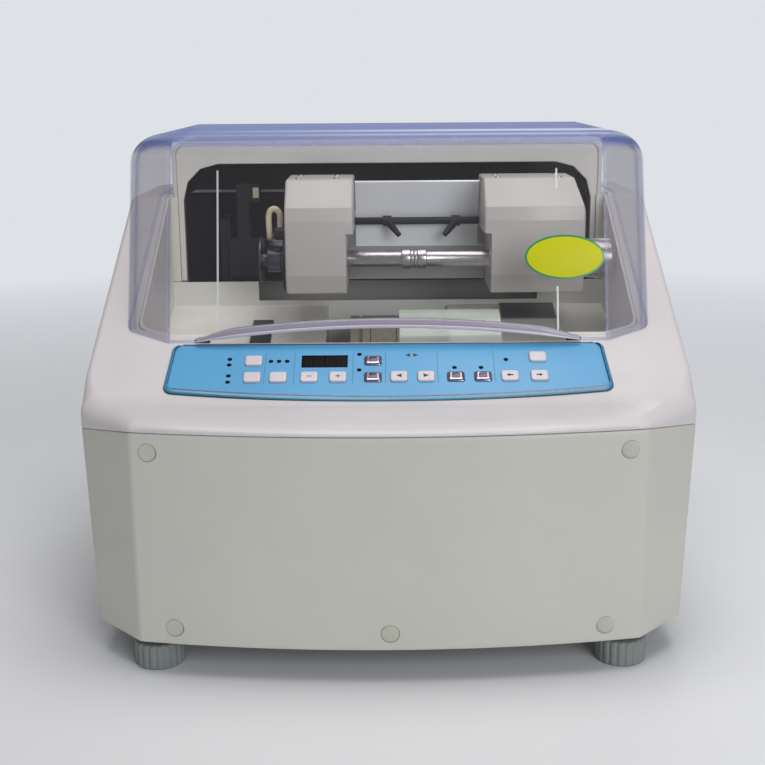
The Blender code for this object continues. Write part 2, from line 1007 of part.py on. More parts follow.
def make_key_board(slope):
    top = board_top()
    board = extruded("key_board", panel_outline(board_margin), "Z", top - board_thickness, top)
    switch_height = key_underside() - key_travel - clearance
    for share, row_share in key_places.values():
        switch = extruded("switch", around(panel_place(share, row_share), switch_size, switch_size),
                          "Z", top - board_thickness / 2, switch_height)
        join(board, switch)
    for share, row_share in lamp_shares:
        join(board, rod("lamp", lamp_radius, "Z", panel_place(share, row_share),
                        top - board_thickness / 2, -overlay_drop, lamp_sides))
    finish(board, "board_green", slope)


def key_underside():
    return -recess_depth - key_flange_thickness - key_flange / 2


def make_key(name, centre, slope):
    """A key cap with a flange that stops it under the overlay and a stem to its switch."""
    flange_top = -recess_depth
    levels = [
        (flange_top, 0),
        (key_rise - key_crown, 0),
        (key_rise - key_crown / 3, key_crown / 2),
        (key_rise, key_crown * 2),
    ]
    rings = []
    for height, step in levels:
        outline = around(centre, key_width - 2 * step, key_length - 2 * step, key_round)
        rings.append([(x, y, height) for x, y in outline])
    key = loft(name, rings)
    flange = extruded("flange", around(centre, key_width + 2 * key_flange,
                                       key_length + 2 * key_flange),
                      "Z", flange_top - key_flange_thickness, flange_top + clearance / 2)
    flange.data.transform(Matrix.Translation((0, 0, -clearance)))
    stem = extruded("stem", around(centre, key_stem, key_stem), "Z", key_underside(), flange_top)
    join(key, flange, stem)
    look = "key_chrome" if name in chrome_keys else "key_pale"
    finish(key, look, slope, origin=(centre[0], centre[1], 0))


# Chamber

def chamber_outline(distance, back):
    """The hood's own outline drawn in, so that the hood covers the chamber's edge."""
    drawn = chamber_ledge + distance
    return hood_outline(hood_base, drawn, back + drawn)


def make_chamber_tub(edger):
    front = hood_front
    far = tub_back - tub_wall

    def floor(y, drop):
        return (y, tub_floor(y) - drop)

    def rim(y, rise):
        return (y, slope_height(y) + rise)

    outer = [floor(front, tub_wall), floor(tub_back, tub_wall), rim(tub_back, -clearance),
             rim(front, -clearance)]
    inner = [floor(front, 0), floor(tub_back, 0), rim(tub_back, overrun), rim(front, overrun)]
    tub = extruded("chamber_tub", chamber_outline(clearance, tub_back), "Z", 0, tower_top)
    common(tub, extruded("outer", outer, "X", -width, width))
    well = extruded("well", [(well_front, well_floor - tub_wall), (tub_back, well_floor - tub_wall),
                             floor(tub_back, 0), floor(well_front, 0)],
                    "X", -well_half, well_half)
    join(tub, well)
    room = extruded("room", chamber_outline(clearance + tub_wall, far), "Z", 0, tower_top)
    common(room, extruded("inner", inner, "X", -width, width))
    cut(tub, room)
    cut(tub, box("well_room", (-well_half + tub_wall, well_half - tub_wall),
                 (well_front + tub_wall, far), (well_floor, tub_floor(far) + overrun)))
    sill = box("sill", (-width, width), (far - clearance, tub_back + overrun),
               (tub_sill, slope_height(tub_back) + overrun))
    notch = box("notch", (-notch_left, notch_right), (far - clearance, tub_back + overrun),
                (notch_height, tub_sill + overrun))
    nose = rod("nose_hole", spindle_nose_radius + clearance, "X", (spindle_y, spindle_z),
               -well_half - overrun, 0)
    drain = rod("drain_hole", drain_hole, "Z", (drain_x, spindle_y), well_floor - overrun,
                well_floor + overrun, small_sides)
    cut(tub, sill, notch, nose, drain)
    finish(tub, "tub_grey", edger)


def make_back_shroud(edger):
    half = tower_half - tower_wall - clearance
    top = tower_top - tower_wall - clearance
    corner = tower_round - tower_wall
    low = tub_sill + clearance
    outline = rounded(box_outline(-half, half, low, top), [0, 0, corner, corner])
    shroud = extruded("back_shroud", outline, "Y", tower_front + clearance,
                      tower_front + clearance + shroud_thickness)
    gap = [(-shroud_half, low - overrun), (shroud_half, low - overrun),
           (shroud_half, shroud_opening_top), (-shroud_half, shroud_opening_top)]
    gap = rounded(gap, [0, 0, shroud_corner, shroud_corner])
    cut(shroud, extruded("gap", gap, "Y", tower_front - overrun, tower_front + overrun))
    finish(shroud, "tub_grey", edger)


def make_splash_guard(edger):
    """A clear curved sheet that stands on the tub's floor in front of the wheels."""
    foot_z = tub_floor(guard_foot_y) + clearance
    points = []
    for step in range(guard_steps + 1):
        t = step / guard_steps
        y = guard_foot_y + (guard_top_y - guard_foot_y) * t * t
        z = foot_z + (guard_top_z - foot_z) * math.sin(t * math.pi / 2)
        points.append((y, z))
    back = guard_foot_y + guard_foot_length
    foot = [(back, tub_floor(back) + clearance)]
    sheet = extruded("splash_guard", strip_outline(foot + points, -guard_thickness), "X",
                     guard_left, guard_right)
    finish(sheet, "clear_sheet", edger)


# Hood

def hood_outline(level, distance, back):
    """The hood's outline at a height: it leans back and draws in as it rises."""
    share = (level - hood_base) / (hood_top - hood_edge_round - hood_base)
    front = hood_front + hood_front_lean * share
    near_half = hood_front_half - hood_front_taper * share
    half = hood_half - hood_taper * share
    facet = front + hood_facet_depth
    corners = [(-near_half, front), (near_half, front), (half, facet), (half, back),
               (-half, back), (-half, facet)]
    corners = inset(corners, distance)
    radii = [hood_corner_round, hood_corner_round, hood_corner_round, 0, 0, hood_corner_round]
    return rounded(corners, radii, 2)


def hood_shell(name, distance, back):
    shoulder = hood_top - hood_edge_round
    rings = [[(x, y, hood_base - overrun) for x, y in hood_outline(hood_base - overrun, distance, back)]]
    for step in range(hood_round_steps + 1):
        angle = math.pi / 2 * step / hood_round_steps
        level = shoulder + (hood_edge_round - distance) * math.sin(angle)
        drawn = distance + (hood_edge_round - distance) * (1 - math.cos(angle))
        rings.append([(x, y, level) for x, y in hood_outline(shoulder, drawn, back)])
    return loft(name, rings)


def hood_side():
    """The side view that trims the hood: along the slope and deck, then round its ears."""
    deck = deck_height + hood_gap
    near = hood_front - overrun
    lift = hood_gap / math.cos(slope_angle)
    ear = arc((hinge_y, hinge_z), hinge_ear, -2 * math.pi / 3, math.pi / 3, ear_steps)
    return [
        (near, slope_height(near) + lift),
        (slope_back(deck - lift), deck),
        (ear_front, deck),
    ] + ear + [(ear[-1][0], hood_top + overrun), (near, hood_top + overrun)]


def arch_line():
    radius = (arch_half * arch_half + arch_rise * arch_rise) / (2 * arch_rise)
    line = []
    for step in range(arch_steps + 1):
        x = arch_half * (1 - 2 * step / arch_steps)
        line.append((x, arch_foot + arch_rise - radius + math.sqrt(radius * radius - x * x)))
    return line


def make_hood(edger):
    back = hinge_y + hinge_ear + clearance
    hood = hood_shell("hood", 0, back)
    cut(hood, hood_shell("inside", hood_wall, back + overrun))
    common(hood, extruded("side", hood_side(), "X", -width, width))
    arch = [(-arch_half, hood_base - overrun), (arch_half, hood_base - overrun)] + arch_line()
    cut(hood, extruded("arch", arch, "Y", hood_front - overrun, hood_front + overrun))
    cut(hood, rod("rod_hole", hinge_rod_radius + clearance, "X", (hinge_y, hinge_z), -width,
                  width, small_sides))
    finish(hood, "clear_hood", edger, origin=(0, hinge_y, hinge_z))

    edge = arch_line()
    upper = [(x, z + handle_height) for x, z in edge]
    outline = edge + upper[::-1]
    rings = []
    for stand_off in (clearance, clearance + handle_depth):
        rings.append([(x, hood_face(z) - stand_off, z) for x, z in outline])
    handle = loft("hood_handle", rings)
    finish(handle, "cover_white", edger, origin=(0, hinge_y, hinge_z))

    reach = hood_half - hood_taper
    finish(rod("hood_hinge_rod", hinge_rod_radius, "X", (hinge_y, hinge_z), -reach, reach,
               small_sides), "steel", edger)


def hood_face(z):
    share = (z - hood_base) / (hood_top - hood_edge_round - hood_base)
    return hood_front + hood_front_lean * share


# Mechanism

def make_mechanism_frame(edger):
    foot = base_height + plate_thickness + clearance

    def under_tray(y):
        return tub_floor(y) - tub_wall - frame_under_tray

    shoulder = tub_back + frame_under_tray
    outline = [
        (frame_front, foot),
        (frame_back, foot),
        (frame_back, frame_top),
        (frame_column_front, frame_top),
        (frame_column_front, under_tray(shoulder)),
        (shoulder, under_tray(shoulder)),
        (frame_front, under_tray(frame_front)),
    ]
    frame = box("mechanism_frame", (-frame_inner - frame_thickness / 2,
                                    frame_inner + frame_thickness / 2),
                (frame_back - cross_thickness, frame_back), (cross_low, cross_high))
    for side in (-1, 1):
        join(frame, extruded("plate", outline, "X", side * frame_inner,
                             side * (frame_inner + frame_thickness)))
    outer = frame_inner + frame_thickness + overrun
    cut(frame, rod("pivot_bore", pivot_radius + clearance, "X", (pivot_y, pivot_z), -outer, outer))
    cut(frame, rod("spindle_bore", spindle_housing_radius + clearance, "X",
                   (spindle_y, spindle_z), -outer, 0))
    cut(frame, rod("motor_bore", motor_hole, "X", (motor_y, motor_z), -outer, 0))
    finish(frame, "cast_alloy", edger)


def make_carriage(edger):
    shaft = rod("guide_shaft", pivot_radius, "X", (pivot_y, pivot_z), -pivot_half, pivot_half)
    finish(shaft, "steel", edger, origin=(0, pivot_y, pivot_z))

    block = rod("carriage_block", carriage_radius, "X", (pivot_y, pivot_z), -carriage_left,
                carriage_right)
    wall_front = frame_back - cross_thickness
    across = (fork_left, fork_right)
    bridge = box("bridge", across, (pivot_y, frame_back + clearance + fork_thickness),
                 (cross_high + clearance, cross_high + clearance + fork_rise))
    fingers = [
        box("finger", across, (wall_front - clearance - fork_thickness, wall_front - clearance),
            (cross_high - fork_reach, cross_high + fork_rise / 2)),
        box("finger", across, (frame_back + clearance, frame_back + clearance + fork_thickness),
            (cross_high - fork_reach, cross_high + fork_rise / 2)),
    ]
    join(block, bridge, *fingers)
    cut(block, rod("bore", pivot_radius + clearance, "X", (pivot_y, pivot_z),
                   -carriage_left - overrun, carriage_right + overrun))
    finish(block, "cast_alloy", edger, origin=(0, pivot_y, pivot_z))


def make_head_frame(edger):
    arm = link_outline((pivot_y, pivot_z), arm_back_radius, (lens_y, lens_z), arm_front_radius)
    apron = [
        (apron_front, apron_low),
        (apron_front + apron_thickness, apron_low),
        (apron_front + apron_thickness, bridge_low),
        (bridge_back, bridge_low),
        (bridge_back, bridge_high),
        (bridge_front, bridge_high),
        (bridge_front, bridge_low + apron_thickness),
        (apron_front, bridge_low + apron_thickness),
    ]
    left_edge = left_head[1] - head_step_width + clearance
    right_edge = right_head[0] + head_step_width - clearance
    frame = extruded("head_frame", apron, "X", left_edge, right_edge)
    bar = [(bridge_front, bridge_low), (bridge_back, bridge_low), (bridge_back, bridge_high),
           (bridge_front, bridge_high)]
    join(frame, extruded("bar", bar, "X", left_arm[0] + clearance, right_arm[1] - clearance))
    for span in (left_arm, right_arm):
        join(frame, extruded("arm", arm, "X", span[0], span[1]))
    outer = width / 2
    cut(frame, rod("pivot_bore", pivot_radius + clearance, "X", (pivot_y, pivot_z), -outer, outer))
    cut(frame, rod("left_bore", shaft_bush, "X", (lens_y, lens_z), -outer, 0))
    cut(frame, rod("right_bore", quill_radius + clearance, "X", (lens_y, lens_z), 0, outer))
    finish(frame, "cast_alloy", edger, origin=(0, pivot_y, pivot_z))


def head_profile(distance=0):
    """A head cover from the side: chin, flat front, brow and sloping crown."""
    corners = [
        (head_front + head_chin_depth, head_low),
        (head_back, head_low),
        (head_back, head_high),
        (head_front + head_crown_depth, head_high),
        (head_front + head_brow_depth, head_brow_high),
        (head_front, head_brow_low),
        (head_front, head_low + head_chin_height),
    ]
    return inset(corners, distance)


def make_head_cover(name, span, inner_sign, arm, edger):
    """A head cover, open at the back, with a step that leaves room for the lens."""
    lens_side = span[1] if inner_sign > 0 else span[0]
    far_side = span[0] if inner_sign > 0 else span[1]
    cover = extruded(name, head_profile(), "X", span[0], span[1])
    step = box("step", tuple(sorted((lens_side - inner_sign * head_step_width,
                                     lens_side + inner_sign * overrun))),
               (head_front - overrun, head_back + overrun),
               (head_low - overrun, head_step_height))
    cut(cover, step)
    room = head_profile(cover_wall)
    room[1] = (head_back + overrun, room[1][1])
    room[2] = (head_back + overrun, room[2][1])
    near = lens_side - inner_sign * (head_step_width + cover_wall)
    low, high = sorted((near, far_side + inner_sign * cover_wall))
    cut(cover, extruded("room", room, "X", low, high))
    for edge, side in ((arm[0] - clearance, low), (arm[1] + clearance, high)):
        left, right = sorted((edge, side + (cover_wall / 2 if side == high else -cover_wall / 2)))
        join(cover, box("rib", (left, right), (rib_front, rib_back),
                        (lens_z - rib_half_height, lens_z + rib_half_height)))
    return cover


def make_head_covers(edger):
    origin = (0, pivot_y, pivot_z)
    outer = width / 2
    left = make_head_cover("left_head_cover", left_head, 1, left_arm, edger)
    cut(left, rod("hole", shaft_hole, "X", (lens_y, lens_z), -outer, 0))
    finish(left, "cover_white", edger, origin)

    right = make_head_cover("right_head_cover", right_head, -1, right_arm, edger)
    chamfer = [(right_head[1], head_high - right_chamfer_height),
               (right_head[1] + overrun, head_high - right_chamfer_height),
               (right_head[1] + overrun, head_high + overrun),
               (right_head[1] - right_chamfer_width, head_high + overrun),
               (right_head[1] - right_chamfer_width, head_high)]
    cut(right, extruded("chamfer", chamfer, "Y", head_front - overrun, head_back + overrun))
    cut(right, rod("hole", shaft_hole, "X", (lens_y, lens_z), 0, quill_left))
    cut(right, rod("tail_hole", clamp_shaft_radius + clearance, "X", (lens_y, lens_z),
                   quill_right, outer, small_sides))
    finish(right, "cover_white", edger, origin)

    plate_right = left_head[0] - clearance
    plate_left = plate_right - side_plate_thickness
    plate = rod("head_side_plate", side_plate_radius, "X", (lens_y, lens_z - side_plate_drop),
                plate_left, plate_right)
    cut(plate, rod("hole", shaft_hole, "X", (lens_y, lens_z), plate_left - overrun,
                   plate_right + overrun))
    finish(plate, "black_part", edger, origin)

    motor_left = right_head[1] + clearance
    motor = turned("clamp_motor", [
        (motor_left - clamp_shaft_reach, clamp_shaft_radius),
        (motor_left, clamp_shaft_radius),
        (motor_left, clamp_radius),
        (motor_left + clamp_length - cover_edge_round / 2, clamp_radius),
        (motor_left + clamp_length, clamp_radius - cover_edge_round / 2),
    ], "X", (lens_y, lens_z))
    finish(motor, "steel", edger, origin)


def make_splash_shield(edger):
    """A clear sheet behind the lens, with the two nozzles on its front."""
    origin = (0, pivot_y, pivot_z)
    low = bridge_low + apron_thickness + clearance
    points = []
    for step in range(shield_steps + 1):
        t = step / shield_steps
        points.append((apron_front + shield_thickness + clearance - shield_top_lean * t * t,
                       low + (shield_top - low) * t))
    left = left_head[1] + shield_margin
    right = right_head[0] - shield_margin
    sheet = extruded("splash_shield", strip_outline(points, shield_thickness), "X", left, right)
    finish(sheet, "clear_sheet", edger, origin)

    share = (nozzle_z - low) / (shield_top - low)
    face = apron_front + clearance - shield_top_lean * share * share
    bar_y = face - nozzle_radius - clearance - shield_thickness / 2
    manifold = rod("coolant_manifold", manifold_radius, "X", (bar_y, nozzle_z),
                   left_head[1] + clearance, right_head[0] - clearance, small_sides)
    for x, turn in ((nozzle_left_x, 1), (nozzle_right_x, -1)):
        root = (x, bar_y, nozzle_z)
        tip = (x + turn * nozzle_reach, bar_y - nozzle_reach, nozzle_z - nozzle_drop)
        base = rod("base", nozzle_radius, "X", (bar_y, nozzle_z), x - nozzle_base_length / 2,
                   x + nozzle_base_length / 2, small_sides)
        join(manifold, base, tapered("spout", root, tip, nozzle_radius * 0.8, nozzle_tip_radius))
    finish(manifold, "black_part", edger, origin)


def make_coolant_pipe(edger):
    """The water pipe: out of a fitting on the left cover, over in a loop and to the arm."""
    origin = (0, pivot_y, pivot_z)
    wall_x = left_head[0] - clearance
    near = wall_x - pipe_fitting_length / 2
    far = near - 2 * pipe_leg
    fitting_top = pipe_fitting_z + pipe_fitting_radius / 2
    leg_foot = pipe_fitting_z - pipe_leg
    turn_y = head_back - pipe_leg
    end_y = head_back + 2 * pipe_leg
    arm_x = left_arm[0] - clearance
    route = [
        (near, pipe_y, fitting_top),
        (near, pipe_y, pipe_top - pipe_leg),
        (near - pipe_leg, pipe_y, pipe_top),
        (far, pipe_y, pipe_top - pipe_leg),
        (far, pipe_y, leg_foot + pipe_leg),
        (far, pipe_y + 2 * pipe_leg, leg_foot),
        (far, turn_y, leg_foot - pipe_leg),
        (arm_x - pipe_ferrule_length / 2, end_y, leg_foot - 2 * pipe_leg),
    ]
    pipe = swept("coolant_pipe", smooth_path(route, pipe_steps), pipe_radius, pipe_sides)
    join(pipe, rod("ferrule", pipe_ferrule_radius, "X", (end_y, leg_foot - 2 * pipe_leg),
                   arm_x - pipe_ferrule_length, arm_x, small_sides))
    join(pipe, rod("fitting", pipe_fitting_radius, "X", (pipe_y, pipe_fitting_z),
                   wall_x - pipe_fitting_length, wall_x, small_sides))
    finish(pipe, "pipe_beige", edger, origin)


def make_lens_shafts(edger):
    axis = (lens_y, lens_z)
    pad_left = lens_x - clearance / 2
    left = turned("left_lens_shaft", [
        (left_shaft_end, shaft_radius),
        (pad_left - pad_length - chuck_length, shaft_radius),
        (pad_left - pad_length - chuck_length, chuck_radius),
        (pad_left - pad_length, chuck_radius),
        (pad_left - pad_length, pad_radius),
        (pad_left, pad_radius),
    ], "X", axis)
    finish(left, "steel", edger, origin=(lens_x, lens_y, lens_z))

    hub_bore = (pattern_hub_right, shaft_radius + clearance)
    holder = turned("pattern_holder", [
        (pattern_disc_left, 0),
        (pattern_disc_left, pattern_disc_radius),
        (pattern_disc_left + pattern_disc_thickness, pattern_disc_radius),
        (pattern_disc_left + pattern_disc_thickness, pattern_neck_radius),
        (pattern_hub_left, pattern_neck_radius),
        (pattern_hub_left, pattern_hub_radius),
        (pattern_hub_right, pattern_hub_radius),
        hub_bore,
        (left_shaft_end - clearance, hub_bore[1]),
        (left_shaft_end - clearance, 0),
    ], "X", axis)
    finish(holder, "steel", edger, origin=(lens_x, lens_y, lens_z))

    pad_right = lens_x + clearance / 2
    collar = quill_left - clearance - collar_thickness
    tail = quill_right + clearance
    right = turned("right_lens_shaft", [
        (pad_right, pad_radius),
        (pad_right + pad_length, pad_radius),
        (pad_right + pad_length, chuck_radius),
        (pad_right + pad_length + chuck_length, chuck_radius),
        (pad_right + pad_length + chuck_length, shaft_radius),
        (collar, shaft_radius),
        (collar, collar_radius),
        (collar + collar_thickness, collar_radius),
        (collar + collar_thickness, shaft_radius),
        (tail, shaft_radius),
        (tail, collar_radius),
        (tail + tail_collar_thickness, collar_radius),
    ], "X", axis)
    finish(right, "steel", edger, origin=(lens_x, lens_y, lens_z))

    quill = sleeve("clamp_quill", [(quill_left, quill_radius), (quill_right, quill_radius)],
                   quill_bore, "X", axis)
    finish(quill, "zinc_plate", edger, origin=(quill_left, lens_y, lens_z))


def make_sizing_column(edger):
    """The black upright beside the head that senses the lens size, on the frame's wall."""
    column = box("sizing_column", (column_left, column_right), (column_front, column_back),
                 (column_foot_low, column_top))
    foot = box("foot", (-frame_inner + clearance, column_foot_right),
               (column_front, column_foot_back), (column_foot_low, column_foot_high))
    sensor = box("sensor", (column_right - clearance, column_right + sensor_width),
                 (column_front, column_front + sensor_depth),
                 (column_top - sensor_height, column_top))
    join(column, foot, sensor)
    finish(column, "black_part", edger)


def wheel(name, left, wide, groove=False):
    """A grinding wheel with a dished hub, and on the bevel wheel a V groove."""
    right = left + wide
    middle = (left + right) / 2
    rim = wheel_radius - wheel_rim
    rim_face = [(left, wheel_radius)]
    if groove:
        rim_face += [(middle - groove_width / 2, wheel_radius),
                     (middle, wheel_radius - groove_depth),
                     (middle + groove_width / 2, wheel_radius)]
    rim_face += [(right, wheel_radius)]
    hub = spindle_radius + wheel_rim
    profile = [(left, hub), (left + wheel_dish, hub + wheel_dish), (left + wheel_dish, rim),
               (left, rim + wheel_dish)] + rim_face
    profile += [(right, rim + wheel_dish), (right - wheel_dish, rim),
                (right - wheel_dish, hub + wheel_dish), (right, hub)]
    return sleeve(name, profile, spindle_radius + clearance, "X", (spindle_y, spindle_z))


def make_spindle(edger):
    axis = (spindle_y, spindle_z)
    origin = (0, spindle_y, spindle_z)
    bevel_left = seat_collar_left + seat_collar_thickness + clearance
    finish_left = bevel_left + bevel_wheel_width + clearance
    rough_left = finish_left + finish_wheel_width + clearance
    nut_left = rough_left + rough_wheel_width + clearance
    spindle = turned("grinding_spindle", [
        (spindle_left, spindle_radius),
        (seat_collar_left, spindle_radius),
        (seat_collar_left, seat_collar),
        (seat_collar_left + seat_collar_thickness, seat_collar),
        (seat_collar_left + seat_collar_thickness, spindle_radius),
        (nut_left, spindle_radius),
        (nut_left, nut_radius),
        (nut_left + nut_thickness, nut_radius),
        (nut_left + nut_thickness, spindle_radius),
        (spindle_right, spindle_radius),
    ], "X", axis)
    finish(spindle, "steel", edger, origin)
    finish(wheel("bevel_wheel", bevel_left, bevel_wheel_width, groove=True), "wheel_grit",
           edger, origin)
    finish(wheel("finish_wheel", finish_left, finish_wheel_width), "wheel_grit", edger, origin)
    finish(wheel("rough_wheel", rough_left, rough_wheel_width), "wheel_grit", edger, origin)

    inner = -frame_inner + clearance
    wall_left = -well_half - clearance
    housing = sleeve("spindle_housing", [
        (spindle_housing_left, spindle_housing_radius),
        (inner, spindle_housing_radius),
        (inner, spindle_flange_radius),
        (inner + spindle_flange_thickness, spindle_flange_radius),
        (inner + spindle_flange_thickness, spindle_housing_radius),
        (wall_left, spindle_housing_radius),
        (wall_left, spindle_nose_radius),
        (wall_left + spindle_nose_reach, spindle_nose_radius),
    ], spindle_radius + clearance, "X", axis)
    finish(housing, "cast_alloy", edger)


def pulley_profile(radius):
    """A flat pulley with a lip at each edge to keep the belt on."""
    half = belt_width / 2 + clearance
    lip = radius + pulley_lip_height
    return [
        (pulley_centre - half - pulley_lip, lip),
        (pulley_centre - half, lip),
        (pulley_centre - half, radius),
        (pulley_centre + half, radius),
        (pulley_centre + half, lip),
        (pulley_centre + half + pulley_lip, lip),
    ]


def make_drive(edger):
    pulley = sleeve("spindle_pulley", pulley_profile(spindle_pulley_radius),
                    spindle_radius + clearance, "X", (spindle_y, spindle_z))
    finish(pulley, "black_part", edger, origin=(0, spindle_y, spindle_z))

    face = -frame_inner + clearance
    profile = pulley_profile(motor_pulley_radius)
    shaft_end = face + motor_shaft_reach
    profile += [(profile[-1][0], motor_shaft_radius), (shaft_end, motor_shaft_radius)]
    driver = turned("motor_pulley", profile, "X", (motor_y, motor_z))
    finish(driver, "black_part", edger, origin=(0, motor_y, motor_z))

    end = face + motor_length
    bore = motor_shaft_radius + clearance
    motor = turned("main_motor", [
        (shaft_end + clearance, 0),
        (shaft_end + clearance, bore),
        (face, bore),
        (face, motor_flange_radius),
        (face + motor_flange_thickness, motor_flange_radius),
        (face + motor_end_length, motor_end_radius),
        (face + motor_end_length, motor_radius),
        (end - motor_end_length, motor_radius),
        (end - motor_end_length, motor_end_radius),
        (end, motor_end_radius - motor_flange_thickness),
        (end, 0),
    ], "X", (motor_y, motor_z))
    finish(motor, "black_part", edger)

    rings = []
    for grow in (clearance, clearance + belt_thickness):
        lower = motor_pulley_radius + grow
        upper = spindle_pulley_radius + grow
        tilt = math.asin((motor_pulley_radius - spindle_pulley_radius) / (spindle_z - motor_z))
        bottom = arc((motor_y, motor_z), lower, math.pi - tilt, 2 * math.pi + tilt, belt_steps)
        top = arc((spindle_y, spindle_z), upper, tilt, math.pi - tilt, belt_steps)
        rings.append(bottom + top)
    half = belt_width / 2
    inner, outer = rings
    belt = loft("drive_belt", [
        [(pulley_centre - half, y, z) for y, z in inner],
        [(pulley_centre - half, y, z) for y, z in outer],
        [(pulley_centre + half, y, z) for y, z in outer],
        [(pulley_centre + half, y, z) for y, z in inner],
    ], loop=True)
    finish(belt, "rubber", edger)


def make_drain_pipe(edger):
    """The drain: down from the well, round a bend and out through the rear panel."""
    top = well_floor - tub_wall - clearance
    end = depth - drain_end_inset
    bend = arc((spindle_y + drain_bend, drain_level + drain_bend), drain_bend, math.pi,
               3 * math.pi / 2, drain_steps)

    def route(extra):
        points = [(drain_x, spindle_y, top + extra)]
        points += [(drain_x, y, z) for y, z in bend]
        return points + [(drain_x, end + extra, drain_level)]

    pipe = swept("drain_pipe", route(0), drain_radius)
    cut(pipe, swept("bore", route(overrun), drain_hole))
    finish(pipe, "black_part", edger)


def make_power_inlet(edger):
    face = depth - wall
    flange = box("power_inlet", (inlet_x - inlet_width / 2, inlet_x + inlet_width / 2),
                 (face, face + inlet_flange),
                 (inlet_z - inlet_height / 2, inlet_z + inlet_height / 2))
    body = box("body", inlet_span(), (face - inlet_body_depth, face + inlet_flange / 2),
               inlet_rise())
    join(flange, body)
    socket_x = inlet_x + socket_offset
    outer = face + inlet_flange
    socket = around((socket_x, inlet_z), socket_width, socket_height, socket_height / 6)
    cut(flange, extruded("socket", socket, "Y", outer - socket_depth, outer + overrun))
    for index in (-1, 0, 1):
        pin = around((socket_x + index * socket_pin_pitch, inlet_z), socket_pin_width,
                     socket_pin_height)
        join(flange, extruded("pin", pin, "Y", outer - socket_depth - socket_pin_width,
                              outer - socket_depth + socket_pin_length))
    pocket = around((inlet_x + rocker_offset, inlet_z), rocker_width + 2 * rocker_slack,
                    rocker_height + 2 * rocker_slack)
    cut(flange, extruded("pocket", pocket, "Y", outer - rocker_pocket, outer + overrun))
    finish(flange, "black_part", edger)

    pivot_y_rocker = rocker_pivot()
    half = rocker_height / 2
    points = [(0, -half), (rocker_slack * 2, 0), (0, half), (-rocker_depth, half / 2),
              (-rocker_depth, -half / 2)]
    outline = []
    for y, z in points:
        turned_y = y * math.cos(rocker_tilt) - z * math.sin(rocker_tilt)
        turned_z = y * math.sin(rocker_tilt) + z * math.cos(rocker_tilt)
        outline.append((pivot_y_rocker + turned_y, inlet_z + turned_z))
    x = inlet_x + rocker_offset
    rocker = extruded("power_rocker", outline, "X", x - rocker_width / 2, x + rocker_width / 2)
    finish(rocker, "rubber", edger, origin=(x, pivot_y_rocker, inlet_z))


def rocker_pivot():
    return depth - wall + inlet_flange - rocker_slack


# Feet

def foot_centres():
    return [(x, y) for y in (foot_front, foot_back) for x in (-foot_x, foot_x)]


def make_foot(name, centre, edger):
    """A fluted wheel on a neck, with the stud that screws into the base plate."""
    count = flute_sides * flute_steps

    def fluted(radius, level):
        ring = []
        for index in range(count):
            angle = 2 * math.pi * index / count
            hollow = flute_depth if index % flute_steps == 0 else 0
            reach = radius - hollow
            ring.append((centre[0] + reach * math.cos(angle), centre[1] + reach * math.sin(angle),
                         level))
        return ring

    foot = loft(name, [
        fluted(foot_radius - foot_edge, 0),
        fluted(foot_radius, foot_edge),
        fluted(foot_radius, foot_height - foot_edge),
        fluted(foot_radius - foot_edge, foot_height),
    ])
    neck_top = base_height - clearance
    stem = turned("stem", [
        (foot_height - foot_edge, foot_neck_radius),
        (neck_top, foot_neck_radius),
        (neck_top, stud_radius),
        (stud_top, stud_radius),
    ], "Z", centre, small_sides)
    join(foot, stem)
    finish(foot, "foot_grey", edger, origin=(centre[0], centre[1], 0))


# Assembly

def make_edger():
    for old in list(bpy.data.objects):
        bpy.data.objects.remove(old)
    edger = bpy.data.objects.new("edger", None)
    edger.location = (0, -depth / 2, 0)
    bpy.context.collection.objects.link(edger)
    slope = bpy.data.objects.new("slope", None)
    slope.location = (0, slope_y, slope_z)
    slope.rotation_euler = (slope_angle, 0, 0)
    bpy.context.collection.objects.link(slope)
    slope.parent = edger
    bpy.context.view_layer.update()

    make_base_plate(edger)
    make_lower_housing(edger)
    make_rear_panel(edger)
    make_top_cover(edger, slope)
    make_panel(slope)
    make_key_board(slope)
    for name, (share, row_share) in key_places.items():
        make_key(name, panel_place(share, row_share), slope)
    make_chamber_tub(edger)
    make_back_shroud(edger)
    make_splash_guard(edger)
    make_hood(edger)
    make_mechanism_frame(edger)
    make_carriage(edger)
    make_head_frame(edger)
    make_head_covers(edger)
    make_splash_shield(edger)
    make_coolant_pipe(edger)
    make_lens_shafts(edger)
    make_sizing_column(edger)
    make_spindle(edger)
    make_drive(edger)
    make_drain_pipe(edger)
    make_power_inlet(edger)
    names = ("front_left_foot", "front_right_foot", "rear_left_foot", "rear_right_foot")
    for name, centre in zip(names, foot_centres()):
        make_foot(name, centre, edger)


make_edger()
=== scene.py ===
import math

import bmesh
import bpy
import numpy as np
from mathutils import Matrix, Vector


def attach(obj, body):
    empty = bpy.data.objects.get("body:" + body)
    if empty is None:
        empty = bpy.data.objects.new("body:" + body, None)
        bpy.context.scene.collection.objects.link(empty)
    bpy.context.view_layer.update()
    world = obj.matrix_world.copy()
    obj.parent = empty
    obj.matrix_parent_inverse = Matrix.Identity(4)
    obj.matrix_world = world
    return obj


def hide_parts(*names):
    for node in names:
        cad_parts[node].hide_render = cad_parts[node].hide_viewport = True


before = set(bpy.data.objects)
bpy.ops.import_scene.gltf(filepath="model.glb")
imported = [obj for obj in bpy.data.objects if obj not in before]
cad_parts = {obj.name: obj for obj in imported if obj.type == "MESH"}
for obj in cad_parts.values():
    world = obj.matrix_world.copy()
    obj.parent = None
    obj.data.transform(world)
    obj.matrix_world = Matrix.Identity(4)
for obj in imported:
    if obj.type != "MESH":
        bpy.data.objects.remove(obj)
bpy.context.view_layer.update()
print("stage: frame loaded")

